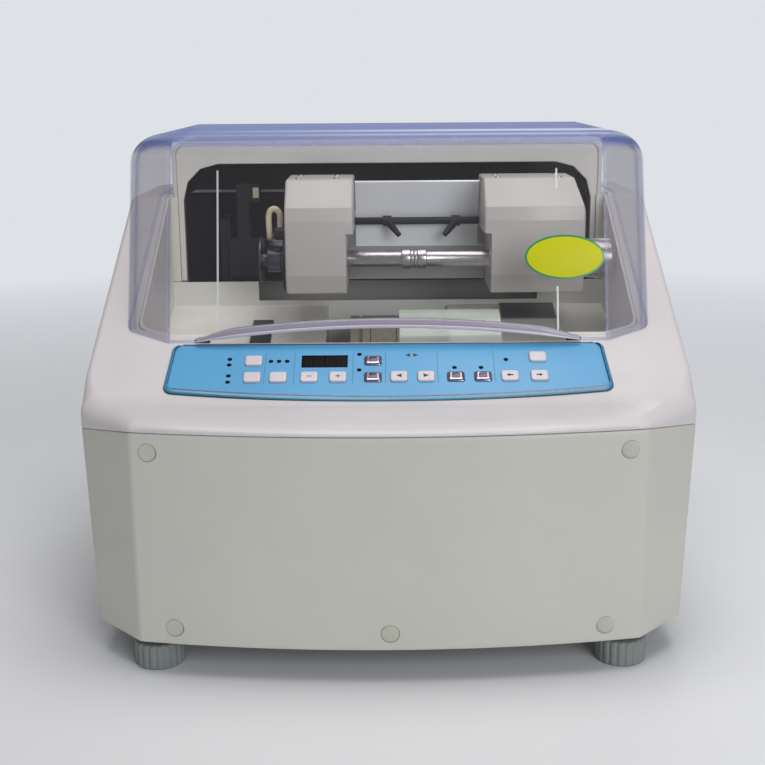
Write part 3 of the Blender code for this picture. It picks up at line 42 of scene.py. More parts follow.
# Lengths are metres. Inside this file y runs back from the middle of the front face,
# and everything is carried forward by shiftBack when it becomes a mesh.
machine = {
    "shiftBack": 0.231, "width": 0.488, "baseWidth": 0.477, "depth": 0.462,
    "frontHalf": 0.1975, "frontBow": 0.019, "facetBack": 0.063,
    "baseHeight": 0.028, "seamHeight": 0.1995, "seamSideDrop": 0.0085,
    "slopeY": 0.064, "slopeZ": 0.217, "slopeAngle": 28.8,
    "merge": 2e-6,
}
slopeTurn = math.radians(machine["slopeAngle"])
slopeRise = math.tan(slopeTurn)
gap = 0.0003  # between pieces that touch
past = 0.3  # how far cutters reach past the machine's middle, to clear both sides


# Shapes as numpy surfaces

def unit(vectors):
    return vectors / np.linalg.norm(vectors, axis=-1, keepdims=True)


def fullTurn(sides):
    return np.arange(sides) / sides * 2 * math.pi


def quarterRound(steps):
    # The stations of a quarter circle as pairs (1 - sin, 1 - cos).
    return [(1 - math.sin(a), 1 - math.cos(a)) for a in np.linspace(0, math.pi / 2, steps + 1)]


def roundPath(corners, steps=6):
    # Each corner is (a, b, radius). A corner with a radius becomes an arc that touches both
    # of its edges; the arc's centre lies on the corner's bisector. Returns one row per point.
    path = []
    for before, corner, after in zip(corners[-1:] + corners[:-1], corners,
                                     corners[1:] + corners[:1]):
        here, radius = np.array(corner[:2], float), corner[2]
        if radius == 0:
            path.append(here[None])
            continue
        back = unit(np.array(before[:2], float) - here)
        ahead = unit(np.array(after[:2], float) - here)
        half = math.acos(np.clip(back @ ahead, -1, 1)) / 2
        centre = here + unit(back + ahead) * radius / math.sin(half)
        start = here + back * radius / math.tan(half) - centre
        end = here + ahead * radius / math.tan(half) - centre
        sweep = math.atan2(start[0] * end[1] - start[1] * end[0], start @ end)
        turn = np.linspace(0, sweep, steps + 1)[:, None]
        side = np.array([-start[1], start[0]])
        path.append(centre + start * np.cos(turn) + side * np.sin(turn))
    return np.concatenate(path)


def insetCorners(corners, distance):
    # Moves every edge of an anticlockwise outline inwards; the corners keep their radii.
    xy = np.array([c[:2] for c in corners], float)
    before, after = unit(xy - np.roll(xy, 1, 0)), unit(np.roll(xy, -1, 0) - xy)
    first = np.stack([-before[:, 1], before[:, 0]], 1)
    second = np.stack([-after[:, 1], after[:, 0]], 1)
    moved = xy + (first + second) * distance / (1 + (first * second).sum(1))[:, None]
    return [(a, b, c[2]) for (a, b), c in zip(moved, corners)]


def mirrorCorners(right):
    # The corners of the right half, from the front backwards, and their mirror images.
    return [(-right[0][0], *right[0][1:])] + right + [(-a, b, r) for a, b, r in right[:0:-1]]


def splitEdges(path, counts):
    # Cuts each edge of a closed path into equal parts, so that long faces shade evenly.
    return np.concatenate([point + (end - point) * (np.arange(count)[:, None] / count)
                           for point, end, count in zip(path, np.roll(path, -1, 0), counts)])


def cutSides(steps, *sides):
    # Parts for splitEdges where arcs of the given steps stand between the sides.
    return [count for side in sides for count in [1] * steps + [side]]


def gridShape(rings, ends="capped", wrap=True):
    # Rings of points as vertices and faces. The ends are capped, joined in a loop or open,
    # and wrap closes each ring.
    points = np.stack(rings)
    rows, cols = points.shape[:2]
    index = np.arange(rows * cols).reshape(rows, cols)
    caps = [index[0, ::-1].tolist(), index[-1].tolist()]
    if ends == "loop":
        index = np.vstack([index, index[:1]])
    if wrap:
        index = np.hstack([index, index[:, :1]])
    corners = [index[:-1, :-1], index[:-1, 1:], index[1:, 1:], index[1:, :-1]]
    faces = np.stack(corners, -1).reshape(-1, 4).tolist()
    return points.reshape(-1, 3), faces + (caps if ends == "capped" else [])


def liftPath(path, along, station):
    # Puts a path of (a, b) points at a station along X, Y or Z.
    a, b = path[:, 0], path[:, 1]
    t = np.broadcast_to(station, a.shape)
    return np.stack({"X": (t, a, b), "Y": (a, t, b), "Z": (a, b, t)}[along], -1)


def prismShape(path, along, low, high):
    # A path carried straight from low to high.
    return gridShape([liftPath(path, along, low), liftPath(path, along, high)])


def softPrism(corners, along, low, high, edge):
    # A prism whose end edges are quarter rounds: the outline draws in by edge(1 - sin)
    # while the station moves by edge(1 - cos).
    rounds = quarterRound(4)
    stations = [(edge * a, low + edge * b) for a, b in rounds]
    stations += [(edge * a, high - edge * b) for a, b in rounds[::-1]]
    return gridShape([liftPath(roundPath(insetCorners(corners, drawn)), along, station)
                      for drawn, station in stations])


def turnShape(profile, centre, along="X", sides=64, ends="capped"):
    # A profile of (station, radius) turned about an axis: a = ra + r cos t, b = rb + r sin t.
    turn = fullTurn(sides)
    circle = np.stack([np.cos(turn), np.sin(turn)], 1)
    return gridShape([liftPath(centre + radius * circle, along, station)
                      for station, radius in profile], ends)


def softProfile(points, radius):
    # Rounds the inner corners of an open profile; each radius is cut to fit its edges.
    points = np.array(points, float)
    t = np.linspace(0, 1, 4)[:, None]
    rows = [points[:1]]
    for before, point, after in zip(points, points[1:], points[2:]):
        back, ahead = before - point, after - point
        reach = min(radius, min(np.linalg.norm(back), np.linalg.norm(ahead)) * 0.45)
        start, end = point + unit(back) * reach, point + unit(ahead) * reach
        rows.append(start * (1 - t) ** 2 + point * 2 * t * (1 - t) + end * t ** 2)
    return np.concatenate(rows + [points[-1:]])


def tubeShape(route, radius, sides=20):
    # A round tube along a route of points, with frames that turn as little as they can.
    turn = fullTurn(sides)
    ahead = unit(np.gradient(route, axis=0))
    across = np.cross(ahead[0], [0.3, 0.5, 0.8])
    rings = []
    for point, direction in zip(route, ahead):
        across = unit(across - direction * (across @ direction))
        upward = np.cross(direction, across)
        ring = np.outer(np.cos(turn), across) + np.outer(np.sin(turn), upward)
        rings.append(point + ring * radius)
    return gridShape(rings)


def smoothRoute(points, steps=10):
    # A Catmull-Rom curve through the points.
    points = np.array(points, float)
    route = np.vstack([2 * points[0] - points[1], points, 2 * points[-1] - points[-2]])
    t = np.linspace(0, 1, steps, endpoint=False)[:, None]
    rows = []
    for p0, p1, p2, p3 in zip(route, route[1:], route[2:], route[3:]):
        bend = 2 * p1 + (p2 - p0) * t + (2 * p0 - 5 * p1 + 4 * p2 - p3) * t ** 2
        rows.append((bend + (3 * p1 - p0 - 3 * p2 + p3) * t ** 3) / 2)
    return np.concatenate(rows + [points[-1:]])


def boxShape(x, y, z):
    path = np.array([(x[0], y[0]), (x[1], y[0]), (x[1], y[1]), (x[0], y[1])], float)
    return prismShape(path, "Z", z[0], z[1])


def plateCorners(x, s, wide, tall, turn):
    return [(x + a * wide / 2, s + b * tall / 2, turn)
            for a, b in ((-1, -1), (1, -1), (1, 1), (-1, 1))]


def onSlope(shape):
    # Turns a shape from the panel's own frame (x, up the slope, out of it) to the machine's.
    points, faces = shape
    x, s, n = points.T
    y = machine["slopeY"] + s * math.cos(slopeTurn) - n * math.sin(slopeTurn)
    z = machine["slopeZ"] + s * math.sin(slopeTurn) + n * math.cos(slopeTurn)
    return np.stack([x, y, z], 1), faces


# Pieces

def mergeMesh(mesh, flat=0):
    # Merges double corners, and then joins the faces that lie flat or turns all outwards.
    build = bmesh.new()
    build.from_mesh(mesh)
    bmesh.ops.remove_doubles(build, verts=build.verts, dist=machine["merge"])
    if flat:
        bmesh.ops.dissolve_limit(build, angle_limit=flat, verts=build.verts, edges=build.edges)
    else:
        bmesh.ops.recalc_face_normals(build, faces=build.faces)
    build.to_mesh(mesh)
    build.free()


def linkObject(name, data):
    item = bpy.data.objects.new(name, data)
    bpy.context.scene.collection.objects.link(item)
    return item


def newObject(name, shapes):
    mesh = bpy.data.meshes.new(name)
    faces, start = [], 0
    for points, quads in shapes:
        faces += [[corner + start for corner in face] for face in quads]
        start += len(points)
    points = np.concatenate([shape[0] for shape in shapes]) - [0, machine["shiftBack"], 0]
    mesh.from_pydata(points.tolist(), [], faces)
    mergeMesh(mesh)
    return linkObject(name, mesh)


def cleanCopy(name, node):
    # A copy of a CAD node with its loose triangles merged and its flat faces joined.
    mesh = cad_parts[node].data.copy()
    mergeMesh(mesh, math.radians(0.5))
    return linkObject(name, mesh)


def trim(piece, shapes, operation="DIFFERENCE"):
    # A Boolean whose result becomes the piece's own mesh.
    for shape in shapes:
        tool = newObject("tool", [shape])
        step = piece.modifiers.new("trim", "BOOLEAN")
        step.operation = operation
        step.solver = "EXACT"
        step.object = tool
        graph = bpy.context.evaluated_depsgraph_get()
        result = bpy.data.meshes.new_from_object(piece.evaluated_get(graph))
        piece.modifiers.clear()
        piece.data = result
        bpy.data.objects.remove(tool)


def dress(piece, look, body, nodes=(), angle=40, bevel=0):
    # Gives a piece its finish, its smooth shading and the body that it rides on.
    mesh = piece.data
    mesh.materials.clear()
    mesh.materials.append(finish[look])
    mesh.polygons.foreach_set("material_index", [0] * len(mesh.polygons))
    mesh.name = piece.name
    if bevel:
        edge = piece.modifiers.new("edges", "BEVEL")
        edge.width = bevel
        edge.segments = 2
        edge.limit_method = "ANGLE"
        edge.angle_limit = math.radians(40)
        edge.harden_normals = False
    mesh.shade_smooth()
    mesh.set_sharp_from_angle(angle=math.radians(angle))
    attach(piece, body)
    if nodes:
        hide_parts(*nodes)


def add(name, shapes, look, body, nodes=(), angle=40):
    dress(newObject(name, shapes), look, body, nodes, angle)


# Shader groups and finishes

def setInputs(tree, node, values):
    # Each value is a number, a colour or the output of another node.
    for key, value in values.items():
        if isinstance(value, bpy.types.NodeSocket):
            tree.links.new(value, node.inputs[key])
        else:
            node.inputs[key].default_value = value


def addNode(tree, kind, values=None, **settings):
    node = tree.nodes.new("ShaderNode" + kind)
    for key, value in settings.items():
        setattr(node, key, value)
    setInputs(tree, node, values or {})
    return node


def mapRange(tree, source, low, high, fromLow=0.0, fromHigh=1.0):
    return addNode(tree, "MapRange", {"Value": source, "From Min": fromLow, "From Max": fromHigh,
                                      "To Min": low, "To Max": high}).outputs["Result"]


def calculate(tree, operation, *values):
    return addNode(tree, "Math", dict(enumerate(values)), operation=operation).outputs[0]


def mixNode(tree, kind, share, first, second):
    start, out = {"RGBA": (6, 2), "FLOAT": (2, 0)}[kind]
    return addNode(tree, "Mix", {0: share, start: first, start + 1: second},
                   data_type=kind, clamp_factor=True).outputs[out]


def newGroup(name, values):
    # A group whose inputs have these names and values. Also returns its inputs and place.
    group = bpy.data.node_groups.new(name, "ShaderNodeTree")
    for label, value in values.items():
        kind = "NodeSocketVector" if isinstance(value, tuple) else "NodeSocketFloat"
        socket = group.interface.new_socket(label, in_out="INPUT", socket_type=kind)
        socket.default_value = value
    for label in ("Height", "Marks", "Roughness"):
        group.interface.new_socket(label, in_out="OUTPUT", socket_type="NodeSocketFloat")
    given = group.nodes.new("NodeGroupInput").outputs
    return group, given, addNode(group, "TexCoord").outputs["Object"]


def endGroup(group, *results):
    for socket, result in zip(list(group.nodes.new("NodeGroupOutput").inputs), results):
        group.links.new(result, socket)
    return group


def mouldGroup():
    # Fine moulded grain with broad, faint handling marks.
    group, given, place = newGroup("mouldedSurface", {
        "Grain Scale": 900.0, "Mark Scale": 14.0, "Rough Low": 0.3, "Rough High": 0.45})
    grain = addNode(group, "TexNoise", {"Vector": place, "Scale": given["Grain Scale"],
                                        "Detail": 2.0}).outputs["Fac"]
    marks = addNode(group, "TexNoise", {"Vector": place, "Scale": given["Mark Scale"],
                                        "Detail": 5.0}).outputs["Fac"]
    soft = mapRange(group, marks, 0.0, 1.0, 0.35, 0.65)
    return endGroup(group, grain, soft,
                    mapRange(group, soft, given["Rough Low"], given["Rough High"]))


def brushGroup():
    # Fine lines round or along a metal piece, with uneven polish.
    group, given, place = newGroup("brushedMetal", {
        "Lines": (60.0, 2400.0, 2400.0), "Rough Low": 0.18, "Rough High": 0.34})
    stretch = addNode(group, "VectorMath", {0: place, 1: given["Lines"]}, operation="MULTIPLY")
    lines = addNode(group, "TexNoise", {"Vector": stretch.outputs["Vector"], "Scale": 1.0,
                                        "Detail": 3.0}).outputs["Fac"]
    marks = addNode(group, "TexNoise", {"Vector": place, "Scale": 38.0}).outputs["Fac"]
    return endGroup(group, lines, marks,
                    mapRange(group, lines, given["Rough Low"], given["Rough High"]))


def gritGroup():
    # Bonded abrasive: bright grains in a darker bond.
    group, given, place = newGroup("bondedGrit", {"Grain Scale": 1400.0})
    away = addNode(group, "TexVoronoi", {"Vector": place, "Scale": given["Grain Scale"]})
    away = away.outputs["Distance"]
    return endGroup(group, away, mapRange(group, away, 1.0, 0.0, 0.1, 0.6),
                    mapRange(group, away, 0.35, 0.85))


groups = {"mould": mouldGroup(), "brush": brushGroup(), "grit": gritGroup()}


def toLinear(colour):
    # sRGB numbers from 0 to 255 as the linear values that the shader takes.
    value = np.array(colour, float) / 255
    linear = np.where(value <= 0.04045, value / 12.92, ((value + 0.055) / 1.055) ** 2.4)
    return (*linear.tolist(), 1.0)


def fadeShadow(tree, alpha, share):
    # Clear sheets throw only a part of their own shade, so what they cover stays light.
    shadow = addNode(tree, "LightPath").outputs["Is Shadow Ray"]
    return calculate(tree, "MULTIPLY", alpha, mapRange(tree, shadow, 1.0, share))


def newMaterial(name):
    material = bpy.data.materials.new(name)
    material.use_nodes = True
    return material, material.node_tree, material.node_tree.nodes["Principled BSDF"]


def makeFinish(name, colour, second=None, effect="mould", rough=(0.3, 0.45), metallic=0.0,
               grain=900.0, bump=0.02, coat=0.0, coatRough=0.1, specular=0.5, alpha=1.0,
               rimAlpha=None):
    material, tree, shader = newMaterial(name)
    pattern = addNode(tree, "Group", node_tree=groups[effect])
    for label, value in (("Grain Scale", grain), ("Rough Low", rough[0]),
                         ("Rough High", rough[1])):
        if label in pattern.inputs:
            pattern.inputs[label].default_value = value
    if rimAlpha is not None:
        facing = addNode(tree, "LayerWeight", {"Blend": 0.35}).outputs["Facing"]
        alpha = fadeShadow(tree, mapRange(tree, facing, alpha, rimAlpha), 0.3)
    second = second or [c * 0.965 for c in colour]
    setInputs(tree, shader, {
        "Base Color": mixNode(tree, "RGBA", pattern.outputs["Marks"], toLinear(colour),
                              toLinear(second)),
        "Roughness": pattern.outputs["Roughness"], "Metallic": metallic, "Coat Weight": coat,
        "Coat Roughness": coatRough, "Specular IOR Level": specular, "Alpha": alpha})
    if bump:
        relief = addNode(tree, "Bump", {"Strength": bump, "Distance": 0.0005,
                                        "Height": pattern.outputs["Height"]})
        tree.links.new(relief.outputs["Normal"], shader.inputs["Normal"])
    return material


# Each zone of the hood has a colour and an alpha. The edge zone is a painted highlight:
# a white streak along the top, and white lines where the hood is seen edge-on.
hoodTint = {
    "face": ((188, 184, 192), 0.03), "facet": ((150, 147, 156), 0.38),
    "bend": ((96, 106, 158), 0.6), "shoulder": ((60, 84, 156), 0.74),
    "top": ((122, 134, 182), 0.72), "edge": ((222, 228, 240), 0.9),
    "side": ((178, 178, 188), 0.14), "haze": ((150, 156, 188), 0.16),
    "shadow": 0.25, "shallow": (0.50, 0.82), "curved": (0.15, 0.45),
    "paintedStreak": (0.0, 0.034), "paintedStreakFade": (-0.19, 0.06),
}


def makeHoodFinish():
    # Clear moulding: nearly invisible face on, milky on its two facets, bluer along their bends,
    # and blue on the curved shoulder and the top where they are seen at a shallow angle.
    # A white streak along the top and white lines where the hood is seen edge-on are painted
    # highlights.
    material = makeFinish("clearHood", hoodTint["face"][0], rough=(0.05, 0.1), bump=0,
                          specular=0.4, coatRough=0.04)
    tree = material.node_tree

    def ramp(source, start, end):
        return mapRange(tree, source, 0.0, 1.0, start, end)

    def band(source, middle, width):
        # 1 at the middle value, falling to 0 at a width on both sides of it.
        size = calculate(tree, "ABSOLUTE", calculate(tree, "SUBTRACT", source, middle))
        return mapRange(tree, size, 1.0, 0.0, 0.0, width)

    def times(product, *masks):
        for mask in masks:
            product = calculate(tree, "MULTIPLY", product, mask)
        return product

    where = addNode(tree, "TexCoord").outputs
    normal = addNode(tree, "SeparateXYZ", {"Vector": where["Normal"]}).outputs
    spot = addNode(tree, "SeparateXYZ", {"Vector": where["Object"]}).outputs
    sideLook = calculate(tree, "ABSOLUTE", normal["X"])
    upLook = calculate(tree, "ABSOLUTE", normal["Z"])
    facing = addNode(tree, "LayerWeight", {"Blend": 0.5}).outputs["Facing"]
    flatTop, shallow = ramp(upLook, 0.80, 0.98), ramp(facing, *hoodTint["shallow"])
    curved = mapRange(tree, facing, 0.3, 1.0, *hoodTint["curved"])
    masks = [
        ("facet", ramp(sideLook, 0.20, 0.30)), ("side", ramp(sideLook, 0.75, 0.95)),
        ("bend", band(sideLook, 0.14, 0.11)), ("bend", band(sideLook, 0.62, 0.28)),
        ("shoulder", times(ramp(upLook, 0.38, 0.66), curved)),
        ("haze", flatTop), ("top", times(flatTop, shallow)),
        # Painted highlights: a white streak along the top, and white lines where the rest is seen
        # edge-on.
        ("edge", times(flatTop, shallow, band(spot["Y"], *hoodTint["paintedStreak"]),
                       ramp(spot["X"], *hoodTint["paintedStreakFade"]))),
        ("edge", times(ramp(facing, 0.93, 0.985), mapRange(tree, flatTop, 1.0, 0.0))),
    ]
    colour, alpha = tree.nodes["Mix"].outputs[2], hoodTint["face"][1]
    for zone, mask in masks:
        tone, level = hoodTint[zone]
        colour = mixNode(tree, "RGBA", mask, colour, toLinear(tone))
        alpha = mixNode(tree, "FLOAT", mask, alpha, level)
    setInputs(tree, tree.nodes["Principled BSDF"], {
        "Base Color": colour, "Specular IOR Level": mapRange(tree, flatTop, 0.4, 0.0),
        "Alpha": fadeShadow(tree, alpha, hoodTint["shadow"])})
    return material


# Name, colour, second colour or None, and what differs from makeFinish's own values
looks = [
    ("shellWhite", (214, 210, 212), (209, 205, 207),
     dict(rough=(0.32, 0.42), coat=0.15, coatRough=0.25, bump=0.015)),
    ("innerWhite", (224, 221, 214), (217, 215, 209), dict()),
    ("housingGrey", (200, 200, 191), (197, 197, 189),
     dict(rough=(0.42, 0.52), grain=1500.0, bump=0.04)),
    ("capGrey", (192, 193, 178), None, dict(rough=(0.4, 0.5))),
    ("tubGrey", (222, 221, 214), (212, 212, 206), dict(rough=(0.25, 0.45), bump=0.03)),
    # The shield's sheet is nearly opaque white: a painted reflection of the light that it catches.
    ("clearSheet", (244, 246, 248), (236, 242, 246),
     dict(rough=(0.05, 0.12), bump=0, alpha=0.86, rimAlpha=0.92, specular=0.8, coat=0.6,
          coatRough=0.05)),
    # The splash guard's pale tint and alpha are partly its own clear tint and partly a painted
    # reflection.
    ("clearGuard", (206, 218, 208), None,
     dict(rough=(0.05, 0.12), bump=0, alpha=0.38, rimAlpha=0.8, specular=0.8, coat=0.6,
          coatRough=0.05)),
    ("hoodCrease", (226, 226, 232), None,
     dict(rough=(0.1, 0.2), bump=0, alpha=0.5, rimAlpha=0.7, coat=0.3)),
    ("handleGrey", (158, 152, 168), None, dict(rough=(0.25, 0.35), coat=0.3)),
    ("handleLine", (190, 184, 200), None, dict(rough=(0.2, 0.3), coat=0.4)),
    ("filmBlue", (78, 162, 212), (74, 158, 209),
     dict(rough=(0.3, 0.38), coat=0.25, coatRough=0.15, bump=0.01)),
    ("rimBlue", (44, 132, 168), None, dict(rough=(0.2, 0.3), coat=0.5, bump=0)),
    # The dark foot round the panel is a painted shadow: it stands for the shade in the gap under
    # the raised rim.
    ("rimDark", (24, 40, 54), None, dict(rough=(0.25, 0.4), coat=0.3, bump=0)),
    ("trimChrome", (196, 176, 184), None,
     dict(effect="brush", rough=(0.12, 0.22), metallic=1.0, bump=0.01)),
    ("keyPale", (216, 208, 216), None, dict(rough=(0.3, 0.4), coat=0.2, bump=0.01)),
    ("keyChrome", (176, 168, 182), None,
     dict(effect="brush", rough=(0.08, 0.2), metallic=1.0, bump=0.01)),
    ("inkDark", (22, 20, 30), None, dict(rough=(0.4, 0.5), bump=0)),
    ("inkBlue", (62, 128, 172), None, dict(rough=(0.4, 0.5), bump=0)),
    ("lampDark", (8, 7, 8), None, dict(rough=(0.5, 0.6), specular=0.1, bump=0)),
    ("displayGlass", (14, 10, 12), None, dict(rough=(0.3, 0.36), specular=0.05, bump=0)),
    ("digitDim", (40, 32, 36), None, dict(rough=(0.4, 0.5), specular=0.05, bump=0)),
    ("keyShade", (74, 66, 84), (96, 88, 106),
     dict(effect="brush", rough=(0.16, 0.3), metallic=0.8, bump=0.01)),
    ("stickerYellow", (206, 206, 8), (198, 198, 8),
     dict(rough=(0.35, 0.45), specular=0.2, bump=0.01)),
    ("stickerGreen", (0, 140, 78), None, dict(rough=(0.3, 0.4), coat=0.2, bump=0.01)),
    ("headCream", (192, 187, 183), (186, 182, 178), dict(rough=(0.3, 0.42), coat=0.15)),
    ("steel", (196, 192, 194), (170, 168, 172),
     dict(effect="brush", rough=(0.18, 0.32), metallic=1.0, bump=0.03)),
    ("darkSteel", (96, 94, 104), (70, 70, 80),
     dict(effect="brush", rough=(0.25, 0.4), metallic=1.0, bump=0.03)),
    ("castAlloy", (168, 170, 168), (146, 148, 148),
     dict(rough=(0.4, 0.6), metallic=0.25, grain=420.0, bump=0.12)),
    ("zincPlate", (172, 174, 172), (150, 154, 152),
     dict(effect="brush", metallic=0.9)),
    ("blackPart", (20, 21, 25), (27, 28, 34), dict(rough=(0.4, 0.55), specular=0.35, bump=0.05)),
    # The lining's dark colour is partly painted shade of the closed inside, and partly dark parts
    # behind.
    ("linerDark", (26, 26, 28), (20, 20, 23), dict(specular=0.2, rough=(0.55, 0.7), bump=0.06)),
    ("slotGrey", (70, 78, 78), (56, 62, 64), dict(rough=(0.35, 0.5), bump=0.04)),
    ("rubber", (24, 24, 24), None, dict(rough=(0.7, 0.85), grain=500.0, bump=0.1)),
    ("pipeBeige", (212, 200, 168), None, dict(rough=(0.35, 0.5))),
    ("gritWheel", (104, 102, 92), (158, 154, 138),
     dict(effect="grit", grain=1400.0, metallic=0.15, bump=0.5)),
    ("footGrey", (138, 146, 142), (126, 134, 131), dict(rough=(0.5, 0.65), grain=700.0, bump=0.06)),
    ("boardGreen", (24, 78, 44), None, dict(rough=(0.4, 0.5))),
]
finish = {name: makeFinish(name, *colours, **rest) for name, *colours, rest in looks}
finish["clearHood"] = makeHoodFinish()
print("stage: finishes made")


# Plan and roof of the body

shell = {
    "facetRound": 0.006, "backRound": 0.015, "edgeIn": 0.0045, "edgeInFront": 0.014,
    "edgeDown": 0.0045, "edgeDownFront": 0.0065, "edgeDownFacet": 0.0165, "lowEdge": 0.0012,
    "wall": 0.004, "skin": 0.0078, "noseHeight": 0.2055, "noseAngle": 7.5,
    "deckHeight": 0.352, "foldSoft": 0.005, "creaseHalf": 0.206, "cheekDrop": 0.0015,
    "creaseSoft": 0.004, "ledge": 0.009, "ledgeNear": 0.00495, "mouthRound": 0.01,
    "bayHalf": 0.151, "bayFront": 0.1192, "bayFloor": 0.2437,
}
tower = {"half": 0.205, "front": 0.313, "back": 0.432, "top": 0.402, "round": 0.012,
         "wall": 0.004, "soft": 0.004}
sheets = {
    "thick": 0.001, "screenHalf": 0.215, "screenY": 0.451, "low": 0.205, "screenHigh": 0.342,
    "lowSpan": (-0.135, 0.152), "lowBack": 0.4007, "lowTop": 0.2545,
    "cheekSpan": (0.2002, 0.2094), "cheekFront": 0.3102, "cheekHeight": (0.2690, 0.3500),
}
hood = {
    "wall": 0.003, "front": 0.118, "lean": 0.040, "frontHalf": 0.182, "frontTaper": 0.001,
    "half": 0.219, "taper": 0.0025, "facetDepth": 0.0125, "base": 0.246, "top": 0.4145,
    "low": 0.226, "edgeRound": 0.025, "cornerRound": 0.010, "gap": 0.0008,
    "hingeY": 0.420, "hingeZ": 0.388, "ear": 0.029, "earFront": 0.395, "rod": 0.004,
    "archHalf": 0.158, "archFoot": 0.2490, "archRise": 0.0108,
    "pads": (0.1465, 0.1590), "padHeight": (0.2484, 0.2516), "ribWide": 0.0016,
    "ribs": [(-0.1405, 0.2530, 0.3860), (0.1405, 0.2530, 0.2915), (0.1405, 0.3700, 0.3860)],
    "handleHeight": 0.0074, "handleDepth": 0.0060, "cut": (0.098, 0.138),
    "cutHeight": (0.22, 0.44),
}
deckStart = machine["slopeY"] + (shell["deckHeight"] - machine["slopeZ"]) / slopeRise
planEdges = [40, 8, 30, 1, 1, 18, 30, 18, 1, 1, 30, 8]


def seamLevel(x):
    # The seam is level along the front and falls evenly outwards over the facets.
    half = machine["frontHalf"]
    share = np.clip((np.abs(x) - half) / (machine["width"] / 2 - half), 0, 1)
    return machine["seamHeight"] - machine["seamSideDrop"] * share


def evenPath(corners):
    # Every corner's arc, and between the arcs the parts that planEdges gives.
    arcs = []
    for i, corner in enumerate(corners):
        sides = [(*corners[j % len(corners)][:2], 0) for j in (i - 1, i + 1)]
        arcs.append(roundPath([sides[0], corner, sides[1]])[1:-1])
    rows = []
    for arc, target, count in zip(arcs, arcs[1:] + arcs[:1], planEdges):
        share = np.arange(count)[:, None] / count
        rows += [arc[:-1], arc[-1] + (target[0] - arc[-1]) * share]
    return np.concatenate(rows)


def planPath(distance, side=machine["width"] / 2):
    # The body's outline seen from above, drawn in by a distance: two facets and a front
    # that bows out by bow(1 - (x / half)^2).
    facet, back, front = machine["facetBack"], machine["depth"], machine["frontBow"]
    turn, behind = shell["facetRound"], tower["front"]
    corners = mirrorCorners([
        (machine["frontHalf"], front, turn), (side, facet, turn), (side, deckStart, 0),
        (side, behind, 0), (side, behind + 0.0005, 0), (side, back, shell["backRound"])])
    path = evenPath(insetCorners(corners, distance))
    half = machine["frontHalf"] - distance * 0.4
    share = np.clip(1 - (path[:, 0] / half) ** 2, 0, 1)
    path[:, 1] -= np.where(path[:, 1] < front + distance + 0.004, front * share, 0)
    return path


def innerPath():
    # The loop that the roof runs in to: the chamber's edge, then the tower's foot.
    ledge, near, turn = shell["ledge"], shell["ledgeNear"], shell["mouthRound"]
    front, side, behind = hood["front"] + ledge, hood["half"] - ledge, tower["front"]
    path = evenPath(mirrorCorners([
        (hood["frontHalf"] - near, front, turn),
        (side, hood["front"] + hood["facetDepth"] + near, turn), (side, deckStart, 0),
        (side, behind, 0), (tower["half"], behind + 0.0005, 0),
        (tower["half"], tower["back"], 0.001)]))
    bay = (path[:, 1] < front + 0.0002) & (np.abs(path[:, 0]) < shell["bayHalf"])
    path[bay, 1] = shell["bayFront"]
    return path


def fade(value, start, end):
    # From 0 at the start to 1 at the end, level at both.
    share = np.clip((value - start) / (end - start), 0, 1)
    return share ** 2 * (3 - 2 * share)


def edgePath(share):
    # The outline drawn in by a share of the edge's reach, which is longer at the front.
    side, front = planPath(shell["edgeIn"] * share), planPath(shell["edgeInFront"] * share)
    return side + (front - side) * fade(side[:, 1:], machine["facetBack"] + 0.03,
                                        machine["facetBack"] - 0.01)


def edgeDrop(path):
    # How far the edge reaches down: most on the facets, less in front and along the sides.
    facet = fade(np.abs(path[:, 0]), machine["frontHalf"] - 0.02, machine["width"] / 2 - 0.01)
    side = fade(path[:, 1], machine["facetBack"] + 0.002, machine["facetBack"] + 0.03)
    drop = shell["edgeDownFront"]
    drop = drop + (shell["edgeDownFacet"] - drop) * facet
    return drop + (shell["edgeDown"] - drop) * side


def softStep(a, b, width):
    # A smooth maximum of two heights.
    share = np.clip(0.5 + 0.5 * (a - b) / width, 0, 1)
    return b + (a - b) * share + width * share * (1 - share) / 2


def roofHeight(path):
    # Nose, then the slope, then the deck, less the fall of the cheeks beyond their crease.
    x, y = path.T
    nose = shell["noseHeight"] + y * math.tan(math.radians(shell["noseAngle"]))
    slope = machine["slopeZ"] + (y - machine["slopeY"]) * slopeRise
    roof = softStep(nose, slope, shell["foldSoft"])
    roof = -softStep(-roof, -np.full_like(roof, shell["deckHeight"]), shell["foldSoft"] * 0.5)
    beyond, soft = np.abs(x) - shell["creaseHalf"], shell["creaseSoft"]
    beyond = np.where(beyond < -soft, 0, np.where(beyond > soft, beyond,
                                                  (beyond + soft) ** 2 / (4 * soft)))
    fall = shell["cheekDrop"] / (machine["width"] / 2 - shell["creaseHalf"])
    return roof - beyond * fall


